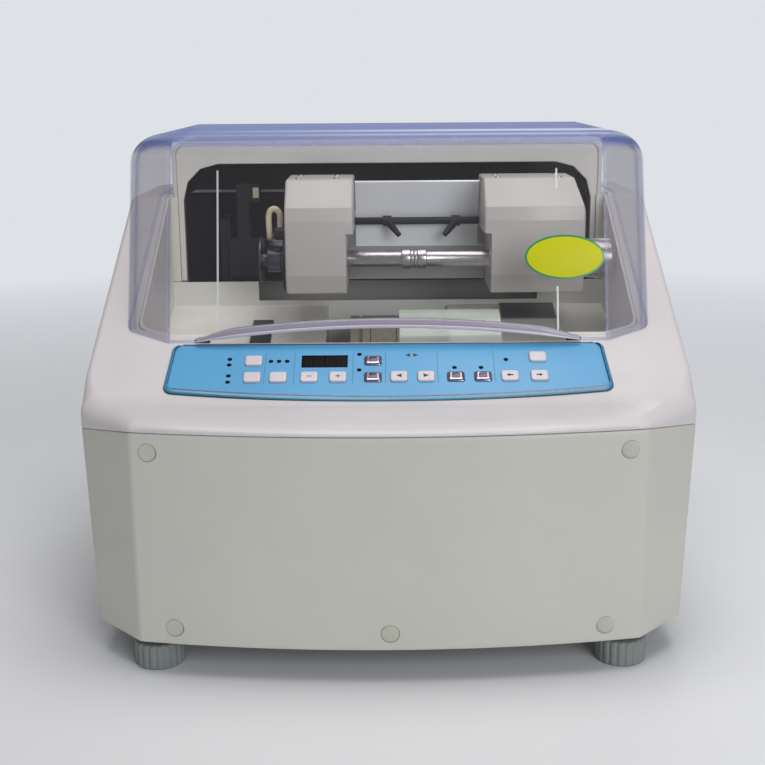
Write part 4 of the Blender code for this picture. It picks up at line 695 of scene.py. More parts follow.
def coverShape():
    # Rings from the seam up the wall, over a soft elliptical edge, in along the roof to the
    # chamber's edge, down its rim and back underneath to the inner wall.
    low, inside, skin = shell["lowEdge"], planPath(shell["wall"]), shell["skin"]
    inner, outer, edge = innerPath(), planPath(0), edgePath(1)
    down, top = edgeDrop(outer), roofHeight(edge)
    seam = seamLevel(outer[:, 0]) + gap
    rings = [(inside, seam), (planPath(low), seam), (planPath(low * 0.3), seam + low * 0.3)]
    for share in np.linspace(0, 1, 14):
        rings.append((outer, seam + low + (top - down - seam - low) * share))
    for fall, drawn in quarterRound(10)[1:]:
        path = edgePath(drawn)
        rings.append((path, roofHeight(path) * (1 - fall) + (top - down) * fall))
    for share in np.linspace(0, 1, 46)[1:]:
        path = edge + (inner - edge) * share
        rings.append((path, roofHeight(path)))
    for share in np.linspace(0, 1, 16):
        path = inner + (inside - inner) * share
        rings.append((path, roofHeight(path) - skin))
    return gridShape([np.column_stack(ring) for ring in rings], "loop")


def towerArch(inset):
    # The tower's section, drawn in: two walls, a flat top and rounded corners.
    reach, top = tower["half"] - inset, tower["top"] - inset
    radius = max(tower["round"] - inset, 0.002)
    foot = shell["deckHeight"] - shell["skin"] * 0.6
    path = roundPath([(reach, foot, 0), (reach, top, radius), (-reach, top, radius),
                      (-reach, foot, 0)], 8)
    return np.concatenate([path[:1] + (path[1:2] - path[:1]) * np.linspace(0, 1, 4)[:-1, None],
                           path[1:9], splitEdges(path[9:11], [20, 1])[1:-1], path[10:18],
                           path[-1:]])


def towerShape():
    # An arch section carried back from the front rim, rounded at the rear and closed there.
    wall, soft, front, back = tower["wall"], tower["soft"], tower["front"], tower["back"]
    stations = [(back - wall, wall), (front + 0.001, wall), (front, wall - 0.001),
                (front, 0.001), (front + 0.001, 0)]
    stations += [(y, 0) for y in np.linspace(0.33, back - soft, 6)]
    stations += [(back - soft * a, soft * b) for a, b in quarterRound(5)[1:]]
    rings = [liftPath(towerArch(inset), "Y", y) for y, inset in stations]
    points, faces = gridShape(rings, "capped", False)
    cols, rows = len(rings[0]), len(rings)
    end = (rows - 1) * cols
    faces.append([r * cols for r in range(rows)][::-1])
    faces.append([r * cols + cols - 1 for r in range(rows)])
    faces.append([0, cols - 1, end + cols - 1, end])
    return points, faces


def liningShapes():
    # Dark sheets: an arch inside the tower, its back, and a screen behind the mechanism. Their dark
    # colour stands partly for dark parts behind and partly as painted shade of the closed inside.
    wall, thick, half = tower["wall"] + gap, sheets["thick"], sheets["screenHalf"]
    outer, inner, back = towerArch(wall), towerArch(wall + thick), tower["back"] - wall
    return [prismShape(np.concatenate([outer, inner[::-1]]), "Y", tower["front"] + 0.006, back),
            prismShape(towerArch(wall + gap + thick), "Y", back - thick, back - gap),
            boxShape((-half, half), (sheets["screenY"], sheets["screenY"] + thick),
                     (sheets["low"], sheets["screenHigh"]))]


def paleSheets():
    # A low sheet behind the tub's notch, and two cheeks beside the shroud.
    thick, back, front = sheets["thick"], sheets["lowBack"], sheets["cheekFront"]
    low = boxShape(sheets["lowSpan"], (back - thick, back), (sheets["low"], sheets["lowTop"]))
    return [low] + [boxShape(sorted(side * x for x in sheets["cheekSpan"]),
                             (front, front + thick), sheets["cheekHeight"]) for side in (-1, 1)]


# Control panel outlines

panel = {
    "halfLow": 0.178, "halfHigh": 0.1755, "low": 0.0037, "high": 0.0590, "bow": 0.0115,
    "round": 0.007, "recess": 0.0035, "flange": 0.0013, "bezelWidth": 0.0035,
    "bezelRise": 0.0020, "filmTop": 0.0604, "filmSide": 0.0014, "filmRound": 0.006,
    "filmRise": -0.0004, "lineTop": 0.0611, "lineHalf": 0.1690, "lineWidth": 0.0011,
    "cut": (-0.0045, 0.02), "arrows": (0.108, 0.80), "arrowStep": 0.0034, "inkRise": 0.00006,
}


def bowedPath(corners, half, low, level):
    # Cuts an outline's sides and bows its lower edge, by less and less up to the level.
    path = splitEdges(roundPath(corners, 8), cutSides(8, 60, 6, 40, 6))
    share = np.clip(1 - (path[:, 0] / half) ** 2, 0, 1)
    rise = np.clip((level - path[:, 1]) / (level - low), 0, 1)
    path[:, 1] -= panel["bow"] * share * rise
    return path


def panelPath(distance):
    # The panel's outline up the slope: a bowed lower edge and rounded corners.
    near, far, turn = panel["halfLow"], panel["halfHigh"], panel["round"]
    low, high = panel["low"], panel["high"]
    corners = [(-near, low, turn), (near, low, turn), (far, high, turn), (-far, high, turn)]
    return bowedPath(insetCorners(corners, distance), near - distance, low, high - 0.012)


def filmPath(grow):
    # The film's outline: inside the rim below, close to the sides, and up to the hood.
    side, turn, high = panel["filmSide"] - grow, panel["filmRound"] + grow, panel["filmTop"] + grow
    near, far = panel["halfLow"] - side, panel["halfHigh"] - side
    low = panel["low"] + panel["bezelWidth"] + 0.0003 - grow
    corners = [(-near, low, turn), (near, low, turn), (far, high, turn), (-far, high, turn)]
    return bowedPath(corners, near, low, high - 0.013)


def panelRings(section):
    # A closed section of (inset, height) carried round the panel's outline.
    return onSlope(gridShape([liftPath(panelPath(inset), "Z", height)
                              for inset, height in section], "loop"))


# Lower housing and top cover

housing = {
    "windowHalf": 0.176, "windowHeight": (0.056, 0.186),
    "capRadius": 0.0075, "capDepth": 0.0012, "capDome": 0.0004,
    "caps": [(-0.1837, 0.1845), (0.1837, 0.1845), (-0.1687, 0.042), (0.1687, 0.042),
             (0.0, 0.042)],
}


def makeHousing():
    base, wall, back = machine["baseHeight"], shell["wall"], machine["depth"]
    rise = machine["seamHeight"] - base
    section = [(wall, 0), (0.0015, 0), (0.0004, 0.0004), (0, 0.0015)]
    section += [(0, z) for z in np.linspace(0.004, rise - 0.004, 12)]
    section += [(0, rise - 0.0012), (0.0004, rise - 0.0003), (0.0012, rise), (wall, rise)]
    rings = []
    for inset, height in section:
        width = machine["baseWidth"] + (machine["width"] - machine["baseWidth"]) * height / rise
        path = planPath(inset, width / 2)
        level = base + (seamLevel(path[:, 0]) - base) * height / rise
        rings.append(liftPath(path, "Z", level))
    piece = newObject("housingShell", [gridShape(rings, "loop")])
    cutters = [boxShape((-housing["windowHalf"], housing["windowHalf"]),
                        (back - 0.02, back + 0.02), housing["windowHeight"])]
    caps = []
    turn, dome = housing["capRadius"], housing["capDome"]
    reach = turn - 0.0004
    for x, z in housing["caps"]:
        face = machine["frontBow"] * (x / machine["frontHalf"]) ** 2
        depth = face + housing["capDepth"]
        cutters.append(turnShape([(face - 0.01, turn), (depth, turn)], (x, z), "Y", 48))
        profile = [(depth, reach), (face + dome * 2, reach), (face + dome * 1.2, reach * 0.96),
                   (face + dome * 0.8, reach * 0.8), (face + dome * 0.6, reach * 0.4),
                   (face + dome * 0.55, 0.0001)]
        caps.append(turnShape(profile, (x, z), "Y", 48))
    trim(piece, cutters)
    dress(piece, "housingGrey", "base", ["lower_housing"], 30)
    add("screwCaps", caps, "capGrey", "base", (), 50)
    print("stage: housing")


def makeCover():
    piece = newObject("coverShell", [coverShape()])
    trim(piece, [onSlope(prismShape(path, "Z", -panel["recess"], panel["cut"][1]))
                 for path in (panelPath(0), filmPath(0.0007))])
    trim(piece, keyHoles())
    dress(piece, "shellWhite", "base", ["top_cover"], 32)
    add("towerShell", [towerShape()], "shellWhite", "base", (), 32)
    add("rearLining", liningShapes(), "linerDark", "base")
    add("paleSheets", paleSheets(), "innerWhite", "base")
    print("stage: cover")


# Hood

def hoodShare(z):
    return (z - hood["base"]) / (hood["top"] - hood["edgeRound"] - hood["base"])


def hoodFace(z):
    return hood["front"] + hood["lean"] * hoodShare(z)


def hoodPath(level, distance, back):
    share, front, turn = hoodShare(level), hoodFace(level), hood["cornerRound"]
    half, facet = hood["half"] - hood["taper"] * share, front + hood["facetDepth"]
    corners = mirrorCorners([(hood["frontHalf"] - hood["frontTaper"] * share, front, turn),
                             (half, facet, turn), (half, back, 0)])
    counts = cutSides(6, 48, 6, 40) + [48, 40] + cutSides(6, 6)
    return splitEdges(roundPath(insetCorners(corners, distance)), counts)


def hoodShape(distance, back):
    # Outlines stacked from below the slope to the shoulder, then a quarter round to the top.
    edge = hood["edgeRound"]
    shoulder, reach = hood["top"] - edge, edge - distance
    levels = [(z, z, distance) for z in np.linspace(hood["low"], shoulder, 12)]
    levels += [(shoulder + reach * (1 - a), shoulder, distance + reach * b)
               for a, b in quarterRound(11)[1:]]
    return gridShape([liftPath(hoodPath(plan, drawn, back), "Z", z)
                      for z, plan, drawn in levels])


def hoodSide():
    # The side view that the hood is trimmed to: slope, deck and the round ears.
    near, high, deck = hood["cut"][0], hood["cutHeight"][1], shell["deckHeight"] + hood["gap"]
    lift = hood["gap"] / math.cos(slopeTurn)
    slope = machine["slopeZ"] + (near - machine["slopeY"]) * slopeRise + lift
    angles = np.linspace(-2 * math.pi / 3, math.pi / 3, 25)
    ear = np.stack([hood["hingeY"] + hood["ear"] * np.cos(angles),
                    hood["hingeZ"] + hood["ear"] * np.sin(angles)], 1)
    slopeEnd = machine["slopeY"] + (deck - lift - machine["slopeZ"]) / slopeRise
    return np.concatenate([[(near, slope), (slopeEnd, deck), (hood["earFront"], deck)], ear,
                           [(ear[-1, 0], high), (near, high)]])


def archHeight(x):
    half, rise = hood["archHalf"], hood["archRise"]
    radius = (half ** 2 + rise ** 2) / (2 * rise)
    return hood["archFoot"] + rise - radius + np.sqrt(radius ** 2 - x ** 2)


def makeHood():
    back = hood["hingeY"] + hood["ear"] + gap
    piece = newObject("clearHood", [hoodShape(0, back)])
    trim(piece, [hoodShape(hood["wall"], back + 0.02)])
    trim(piece, [prismShape(hoodSide(), "X", -past, past)], "INTERSECT")
    half, rod, hinge = hood["archHalf"], hood["rod"], (hood["hingeY"], hood["hingeZ"])
    x = np.linspace(half, -half, 61)
    low = hood["cutHeight"][0]
    arch = np.concatenate([[(-half, low), (half, low)], np.stack([x, archHeight(x)], 1)])
    trim(piece, [prismShape(arch, "Y", *hood["cut"]),
                 turnShape([(-past, rod + gap), (past, rod + gap)], hinge, "X", 32)])
    dress(piece, "clearHood", "hood", ["hood"], 30)
    end = hood["half"] - hood["taper"]
    profile = softProfile([(-end, 0.0005), (-end, rod), (end, rod), (end, 0.0005)], 0.0006)
    add("hingeRod", [turnShape(profile, hinge, "X", 40)], "steel", "base",
        ["hood_hinge_rod"])
    print("stage: hood")


def handleShape(low, high, proud, soft):
    # A bar along the arch: its section is a rounded rectangle that thins towards both ends.
    x = np.linspace(-hood["archHalf"], hood["archHalf"], 97)
    share = np.clip((hood["archHalf"] - np.abs(x)) / 0.03, 0.18, 1) ** 0.5
    section = roundPath([(low, 0, soft), (high, 0, soft), (high, proud, soft),
                         (low, proud, soft)], 4)
    rings = []
    for along, foot, thin in zip(x, archHeight(x), share):
        z = foot + section[:, 0] * thin
        y = hoodFace(z) - gap - section[:, 1] * (0.4 + 0.6 * thin)
        rings.append(np.stack([np.full_like(z, along), y, z], 1))
    return gridShape(rings)


def makeHandle():
    tall, proud = hood["handleHeight"], hood["handleDepth"]
    add("handleBar", [handleShape(0.0024, tall, proud * 0.92, 0.0011)], "handleGrey", "hood",
        ["hood_handle"], 50)
    add("handleLip", [handleShape(0.0, 0.0028, proud, 0.0009)], "handleLine", "hood",
        (), 50)
    pads, ribs, half = [], [], hood["ribWide"] / 2
    low, high = hood["padHeight"]
    for side in (-1, 1):
        near, far = sorted(side * x for x in hood["pads"])
        face = hoodFace(low) - 0.0004
        corners = [(near, low, 0.0008), (far, low, 0.0008), (far, high, 0.0008),
                   (near, high, 0.0008)]
        pads.append(softPrism(corners, "Y", face - 0.0016, face, 0.0004))
    for middle, foot, top in hood["ribs"]:
        outline = np.array([(hoodFace(foot) - 0.0004, foot), (hoodFace(foot) - 0.0001, foot),
                            (hoodFace(top) - 0.0001, top), (hoodFace(top) - 0.0004, top)])
        ribs.append(prismShape(outline[::-1], "X", middle - half, middle + half))
    add("handlePads", pads, "blackPart", "hood", (), 50)
    add("hoodRibs", ribs, "hoodCrease", "hood", (), 30)
    print("stage: handle")


# Oval sticker: yellow with a green rim, bare of words

sticker = {"x": 0.1467, "z": 0.3147, "halfWide": 0.0329, "halfTall": 0.0178, "rim": 0.0016,
           "thick": 0.0002}


def ovalPlate(grow, low, high):
    # An ellipse on the hood's leaning face, (x, z) = centre + (a cos t, b sin t).
    turn = fullTurn(96)
    rings = []
    for drawn, out in ((0, low), (0, high), (0.0002, high + 0.00005)):
        x = sticker["x"] + (sticker["halfWide"] + grow - drawn) * np.cos(turn)
        z = sticker["z"] + (sticker["halfTall"] + grow - drawn) * np.sin(turn)
        rings.append(np.stack([x, hoodFace(z) - out, z], 1))
    return gridShape(rings)


def makeSticker():
    thick = sticker["thick"]
    add("stickerRim", [ovalPlate(0, 0.00002, thick)], "stickerGreen", "hood")
    add("stickerFace", [ovalPlate(-sticker["rim"], thick + 0.00003, thick * 1.6)],
        "stickerYellow", "hood")
    print("stage: sticker")


# Panel, keys, lamps and display. A place is a share of the panel's half width and height.

keys = {
    "wide": 0.0138, "tall": 0.0116, "round": 0.0022, "rise": 0.0016, "foot": -0.0034,
    "places": {
        "key_program": (-0.614, 0.686), "key_mode": (-0.614, 0.346),
        "key_material": (-0.497, 0.346), "key_minus": (-0.357, 0.346),
        "key_plus": (-0.227, 0.346), "key_set": (-0.070, 0.686), "key_memory": (-0.070, 0.346),
        "key_bevel_left": (0.048, 0.346), "key_bevel_right": (0.170, 0.346),
        "key_start": (0.3045, 0.346), "key_stop": (0.4264, 0.346),
        "key_feed_left": (0.5478, 0.346), "key_feed_right": (0.681, 0.346),
        "key_clamp": (0.684, 0.735),
    },
    "chrome": ("key_set", "key_memory", "key_start", "key_stop"),
}
lamps = {
    "radius": 0.0018, "hole": 0.0020,
    "places": [(-0.725, 0.737), (-0.725, 0.620), (-0.722, 0.397), (-0.722, 0.270),
               (-0.536, 0.688), (-0.499, 0.688), (-0.462, 0.688), (-0.132, 0.822),
               (-0.132, 0.500), (0.3005, 0.536), (0.4208, 0.533), (0.538, 0.695)],
}
display = {"place": (-0.290, 0.681), "wide": 0.0376, "tall": 0.0150, "digitTall": 0.0086,
           "digitWide": 0.0046, "stroke": 0.0008, "digits": 4, "pitch": 0.0088}
dividers = {"x": [-0.0999, -0.076, -0.0286, -0.0022, 0.0398, 0.0856], "span": (0.0135, 0.0515),
            "half": 0.0003}
symbols = {
    "triangle": [(-0.0021, -0.0021), (0.0023, 0), (-0.0021, 0.0021)],
    "arrow": [(-0.0026, -0.0007), (0.0002, -0.0007), (0.0002, -0.0019), (0.0027, 0),
              (0.0002, 0.0019), (0.0002, 0.0007), (-0.0026, 0.0007)],
    "bar": [(-0.0020, -0.00035), (0.0020, -0.00035), (0.0020, 0.00035), (-0.0020, 0.00035)],
    "upright": [(-0.00035, -0.0018), (0.00035, -0.0018), (0.00035, -0.0004),
                (0.00035, 0.0004), (0.00035, 0.0018), (-0.00035, 0.0018)],
}
keyMarks = {
    "key_bevel_left": [("triangle", -1)], "key_bevel_right": [("triangle", 1)],
    "key_feed_left": [("arrow", -1)], "key_feed_right": [("arrow", 1)],
    "key_minus": [("bar", 1)], "key_plus": [("bar", 1), ("upright", 1)],
}


def panelPoint(place):
    return place[0] * panel["halfLow"], place[1] * panel["high"]


def symbolPath(kind, x, s, way):
    # A symbol that points right (1) or left (-1).
    path = np.array(symbols[kind]) * [way, 1]
    return (path if way > 0 else path[::-1]) + [x, s]


def keyHoles():
    return [onSlope(prismShape(roundPath(plateCorners(
        *panelPoint(place), keys["wide"] + 0.0005, keys["tall"] + 0.0005, keys["round"])),
        "Z", -0.014, 0.01)) for place in keys["places"].values()]


def makePanel():
    recess, rise, drop = -panel["recess"] + gap, panel["bezelRise"], panel["filmRise"]
    wide, flange = panel["bezelWidth"], -panel["flange"]
    line, ink = wide - panel["lineWidth"], (drop - 0.0002, drop + panel["inkRise"])
    foot = [(0.0003, recess), (0.0003, 0.00006), (flange, 0.00006), (flange, 0.0007),
            (flange + 0.0003, 0.0010), (0.0006, 0.0010), (0.0006, recess)]
    rim = [(flange + 0.0003, 0.00105), (flange + 0.0005, rise * 0.8), (flange + 0.0010, rise),
           (line, rise), (line, recess), (0.0007, recess), (0.0007, 0.00105)]
    part = panel["lineWidth"]
    chrome = [(line + 0.00005, recess), (line + 0.00005, rise * 1.02),
              (wide - part * 0.75, rise * 1.25), (wide - part * 0.35, rise * 1.15),
              (wide - 0.0001, rise * 0.6), (wide, drop), (wide, recess)]
    cut = onSlope(prismShape(filmPath(0.0003), "Z", *panel["cut"]))
    # The panel's foot is dark as a painted shadow of the gap under the raised rim.
    for name, section, look, nodes in (("panelRim", rim, "rimBlue", ["panel_bezel"]),
                                       ("panelFoot", foot, "rimDark", ()),
                                       ("panelTrim", chrome, "trimChrome", ())):
        piece = newObject(name, [panelRings(section)])
        trim(piece, [cut])
        dress(piece, look, "base", nodes, 60)
    half = panel["lineHalf"]
    add("panelLine", [onSlope(boxShape((-half, half), (panel["filmTop"] + 0.0004,
                                                       panel["lineTop"]), (-0.0002, 0.0007)))],
        "trimChrome", "base")

    film = newObject("panelFilm", [onSlope(prismShape(filmPath(0), "Z", recess, drop))])
    x, s = panelPoint(display["place"])
    window = roundPath(plateCorners(x, s, display["wide"], display["tall"], 0.0004))
    bulbs, holes, turn = [], [], lamps["radius"]
    for place in lamps["places"]:
        spot = panelPoint(place)
        holes.append(onSlope(turnShape([(-0.01, lamps["hole"]), (0.01, lamps["hole"])], spot,
                                       "Z", 24)))
        profile = [(recess, turn), (drop + 0.0001, turn), (drop + 0.0004, turn * 0.8),
                   (drop + 0.0006, turn * 0.4), (drop + 0.00065, 0.00005)]
        bulbs.append(onSlope(turnShape(profile, spot, "Z", 24)))
    trim(film, keyHoles() + holes + [onSlope(prismShape(window, "Z", -0.01, 0.01))])
    dress(film, "filmBlue", "base", ["panel_overlay"], 30)
    add("panelLamps", bulbs, "lampDark", "base", (), 60)

    half = dividers["half"]
    add("panelDividers", [onSlope(boxShape((x - half, x + half), dividers["span"], ink))
                          for x in dividers["x"]], "inkBlue", "base")
    x, s = panelPoint(panel["arrows"])
    arrows = [symbolPath("triangle", x + way * panel["arrowStep"], s, way) for way in (-1, 1)]
    add("panelArrows", [onSlope(prismShape(path, "Z", *ink)) for path in arrows], "inkDark",
        "base")
    print("stage: panel")


def makeDisplay():
    x, s = panelPoint(display["place"])
    top = panel["filmRise"] + 0.0003
    corners = plateCorners(x, s, display["wide"] - 0.0006, display["tall"] - 0.0006, 0.0006)
    glass = softPrism(corners, "Z", -panel["recess"] + gap, top, 0.0004)
    add("displayGlass", [onSlope(glass)], "displayGlass", "base",
        ["display_window"], 50)
    bars = []
    tall, wide, stroke = display["digitTall"], display["digitWide"], display["stroke"]
    for digit in range(display["digits"]):
        middle = x + (digit - (display["digits"] - 1) / 2) * display["pitch"]
        bars += [(middle, s + level, wide - stroke, stroke) for level in (-tall / 2, 0, tall / 2)]
        bars += [(middle + side, s + level, stroke, tall / 2 - stroke)
                 for side in (-wide / 2, wide / 2) for level in (-tall / 4, tall / 4)]
    shapes = [onSlope(boxShape((a - across / 2, a + across / 2), (b - along / 2, b + along / 2),
                               (top - 0.0001, top + 0.00005))) for a, b, across, along in bars]
    add("displayDigits", shapes, "digitDim", "base")
    print("stage: display")


def keyShape(x, s, chrome):
    # Rounded outlines stacked up the cap: straight sides, a soft edge and a faint hollow.
    rise = keys["rise"]
    if chrome:
        levels = [(0, 0.0002), (0.0003, 0.0006), (0.0021, rise), (0.0025, rise),
                  (0.0028, rise - 0.0003)]
    else:
        levels = [(0, rise - 0.0008), (0.00015, rise - 0.0004), (0.0005, rise - 0.0001),
                  (0.0010, rise), (0.0022, rise - 0.00006)]
    rings = []
    for inset, height in [(0, keys["foot"])] + levels:
        corners = plateCorners(x, s, keys["wide"] - 2 * inset, keys["tall"] - 2 * inset,
                               max(keys["round"] - inset * 0.6, 0.0006))
        rings.append(liftPath(roundPath(corners), "Z", height))
    return gridShape(rings)


def makeKeys():
    top = keys["rise"]
    for name, place in keys["places"].items():
        x, s = panelPoint(place)
        chrome = name in keys["chrome"]
        add(name + "_cap", [onSlope(keyShape(x, s, chrome))],
            "keyChrome" if chrome else "keyPale", name, [name], 38)
        if chrome:
            corners = plateCorners(x, s, keys["wide"] - 0.0066, keys["tall"] - 0.0062, 0.001)
            plate = softPrism(corners, "Z", top - 0.0005, top + 0.0001, 0.0002)
            add(name + "_face", [onSlope(plate)], "keyShade", name)
        marks = [onSlope(prismShape(symbolPath(kind, x, s, way), "Z", top - 0.0003,
                                    top + panel["inkRise"] + step * 0.00003))
                 for step, (kind, way) in enumerate(keyMarks.get(name, ()))]
        if marks:
            add(name + "_mark", marks, "inkDark", name)
    print("stage: keys")


# Levelling feet

feet = {"radius": 0.0204, "height": 0.021, "flutes": 20, "fluteDepth": 0.0011, "edge": 0.0025,
        "neck": 0.012, "stud": 0.005, "studTop": 0.05,
        "places": {"front_left_foot": (-0.187, 0.045), "front_right_foot": (0.187, 0.045),
                   "rear_left_foot": (-0.187, 0.417), "rear_right_foot": (0.187, 0.417)}}


def makeFeet():
    turn = fullTurn(feet["flutes"] * 10)
    wave = np.clip(np.cos(turn * feet["flutes"]), -0.2, 1) + 0.2
    edge, tall, rounds = feet["edge"], feet["height"], quarterRound(5)
    rows = [(edge * a, edge * b, 1 - a) for a, b in rounds]
    rows += [(edge * a, tall - edge * b, 1 - a) for a, b in rounds[::-1]]
    neck, base = feet["neck"], machine["baseHeight"] - gap
    stud, end = feet["stud"], feet["studTop"]
    profile = softProfile([(tall - 0.002, 0.0005), (tall - 0.002, neck), (base, neck),
                           (base, stud), (end, stud), (end, 0.0005)], 0.0004)
    for name, (x, y) in feet["places"].items():
        rings = []
        for drawn, z, deep in rows:
            reach = feet["radius"] - drawn - feet["fluteDepth"] * wave / 1.2 * deep
            rings.append(np.stack([x + reach * np.cos(turn), y + reach * np.sin(turn),
                                   np.full_like(turn, z)], 1))
        add(name + "_wheel", [gridShape(rings), turnShape(profile, (x, y), "Z", 40)], "footGrey",
            name, [name], 45)
    print("stage: feet")


# Lens head

head = {
    "front": 0.208, "back": 0.292, "low": 0.272, "high": 0.372, "chin": (0.006, 0.017),
    "brow": (0.002, 0.337, 0.349), "crown": 0.024, "wall": 0.003, "edge": 0.0022,
    "stepTop": 0.326, "stepWide": 0.0065, "left": (-0.0907, -0.0303), "right": (0.0857, 0.1747),
    "chamfer": (0.027, 0.008), "cut": (0.18, 0.32), "cutLow": 0.25, "axis": (0.245, 0.299),
    "hole": 0.0085,
    "screwX": (-0.080, -0.046, 0.100, 0.155), "screwY": (0.245, 0.278), "screw": (0.0028, 0.0012),
    "plate": (-0.0945, -0.0910, 0.025, 0.294), "motorRadius": 0.0178, "motorLong": 0.0312,
}


def headCorners(inset=0.0):
    chinDeep, chinTall = head["chin"]
    browDeep, browLow, browHigh = head["brow"]
    front, back, low, high = head["front"], head["back"], head["low"], head["high"]
    corners = [(front + chinDeep, low, 0.003), (back, low, 0.002), (back, high, 0.002),
               (front + head["crown"], high, 0.004), (front + browDeep, browHigh, 0.002),
               (front, browLow, 0.002), (front, low + chinTall, 0.004)]
    return insetCorners(corners, inset)


def makeHeadCover(name, node, span, lensSide):
    left, right = span
    wall, hole, cut = head["wall"], head["hole"], head["cut"]
    piece = newObject(name, [softPrism(headCorners(), "X", left, right, head["edge"])])
    edge = right if lensSide > 0 else left
    step = sorted((edge - lensSide * head["stepWide"], edge + lensSide * 0.02))
    room = headCorners(wall)
    room[1:3] = [(cut[1], b, r) for _, b, r in room[1:3]]  # open at the back
    far = left + wall if lensSide > 0 else right - wall
    near = edge - lensSide * (head["stepWide"] + wall)
    cutters = [boxShape(step, cut, (head["cutLow"], head["stepTop"])),
               prismShape(roundPath(room, 3), "X", *sorted((far, near)))]
    if lensSide < 0:
        down, aside = head["chamfer"]
        low = head["high"] - down
        chamfer = np.array([(right, low), (right + 0.02, low), (right + 0.02, 0.40),
                            (right - aside, 0.40), (right - aside, head["high"])])
        cutters.append(prismShape(chamfer, "Y", *cut))
    bore = [(left - 0.01, hole), (right + (0.01 if lensSide > 0 else -0.05), hole)]
    cutters.append(turnShape(bore, head["axis"], "X", 40))
    trim(piece, cutters)
    dress(piece, "headCream", "head", [node], 30)


def makeHead():
    axis, hole = head["axis"], head["hole"]
    makeHeadCover("headCoverLeft", "left_head_cover", head["left"], 1)
    makeHeadCover("headCoverRight", "right_head_cover", head["right"], -1)
    crown, (turn, tall) = head["high"] - 0.0002, head["screw"]
    dome = [(crown, turn), (crown + tall * 0.4, turn), (crown + tall * 0.8, turn * 0.8),
            (crown + tall, turn * 0.45), (crown + tall, 0.0001)]
    add("headScrews", [turnShape(dome, (x, y), "Z", 24) for x in head["screwX"]
                       for y in head["screwY"]], "steel", "head", (), 50)
    left, right, turn, middle = head["plate"]
    disc = softProfile([(left, hole), (left, turn), (right, turn), (right, hole)], 0.0008)
    add("sidePlate", [turnShape(disc, (axis[0], middle), "X", 72, "loop")], "blackPart", "head",
        ["head_side_plate"])
    start, turn = head["right"][1] + gap, head["motorRadius"]
    end = start + head["motorLong"]
    motor = softProfile([(start - 0.0045, 0.0005), (start - 0.0045, 0.004), (start, 0.004),
                         (start, turn), (start + 0.0008, turn), (start + 0.001, turn - 0.0004),
                         (start + 0.0024, turn - 0.0004), (start + 0.0026, turn),
                         (end - 0.004, turn), (end, turn - 0.0023), (end, 0.006),
                         (end - 0.0006, 0.005), (end - 0.0006, 0.0005)], 0.0006)
    add("clampMotor", [turnShape(motor, axis, "X", 96)], "steel", "head",
        ["clamp_motor"])
    dress(cleanCopy("headCasting", "head_frame"), "castAlloy", "head",
          ["head_frame"], 30, 0.0008)
    print("stage: head")


shafts = {"radius": 0.0075, "lensX": 0.024, "chuck": 0.0095, "pad": 0.0090, "left": -0.1055,
          "collar": 0.0105, "quill": (0.0995, 0.146), "quillRadius": 0.012,
          "quillBore": 0.0078,
          "holder": [(-0.116, 0.0005), (-0.116, 0.004), (-0.1155, 0.0045), (-0.1155, 0.0185),
                     (-0.116, 0.019), (-0.116, 0.0205), (-0.114, 0.0205), (-0.114, 0.006),
                     (-0.109, 0.006), (-0.109, 0.0115), (-0.097, 0.0115), (-0.097, 0.0078),
                     (-0.1058, 0.0078), (-0.1058, 0.0005)]}


def makeShafts():
    axis, lens, turn = head["axis"], shafts["lensX"], shafts["radius"]
    chuck, pad, collar = shafts["chuck"], shafts["pad"], shafts["collar"]
    near, far = shafts["quill"]
    outer, bore = shafts["quillRadius"], shafts["quillBore"]

    def clampFace(side):
        # From the lens outwards: the pad, its edge and the chuck behind it.
        steps = [(0.0002, 0.0005), (0.0002, pad), (0.0027, pad), (0.0032, pad - 0.0006),
                 (0.0032, chuck), (0.0112, chuck), (0.0112, turn)]
        return [(lens + side * out, radius) for out, radius in steps]

    left = [(shafts["left"], 0.0005), (shafts["left"], turn)] + clampFace(-1)[::-1]
    right = clampFace(1) + [
        (near - 0.0033, turn), (near - 0.0033, collar), (near - 0.0003, collar),
        (near - 0.0003, turn), (far + 0.0003, turn), (far + 0.0003, collar),
        (far + 0.002, collar), (far + 0.002, 0.0005)]
    for name, node, body, profile in (
            ("lensShaftLeft", "left_lens_shaft", "left_chuck", left),
            ("lensShaftRight", "right_lens_shaft", "right_chuck", right)):
        add(name, [turnShape(softProfile(profile, 0.0005), axis, "X", 80)], "steel", body,
            [node])
    tube = [(near, bore), (near, outer - 0.0004), (near + 0.0004, outer), (far - 0.0004, outer),
            (far, outer - 0.0004), (far, bore)]
    add("clampQuill", [turnShape(tube, axis, "X", 72, "loop")], "zincPlate", "quill",
        ["clamp_quill"])
    add("patternHolder", [turnShape(softProfile(shafts["holder"], 0.0004), axis, "X", 80)],
        "darkSteel", "left_chuck", ["pattern_holder"])
    print("stage: shafts")


shield = {"height": (0.3053, 0.368), "foot": 0.2883, "lean": 0.022, "thick": 0.002,
          "room": 0.0008}
pipe = {"near": -0.09675, "far": -0.10635, "y": 0.236, "top": 0.3460, "foot": 0.324,
        "leg": 0.0048, "radius": 0.0027, "endX": (-0.0753, -0.0723), "endY": 0.3016,
        "fitting": [(-0.1025, 0.0005), (-0.1025, 0.005), (-0.1005, 0.006), (-0.0925, 0.006),
                    (-0.091, 0.0055), (-0.091, 0.0005)]}


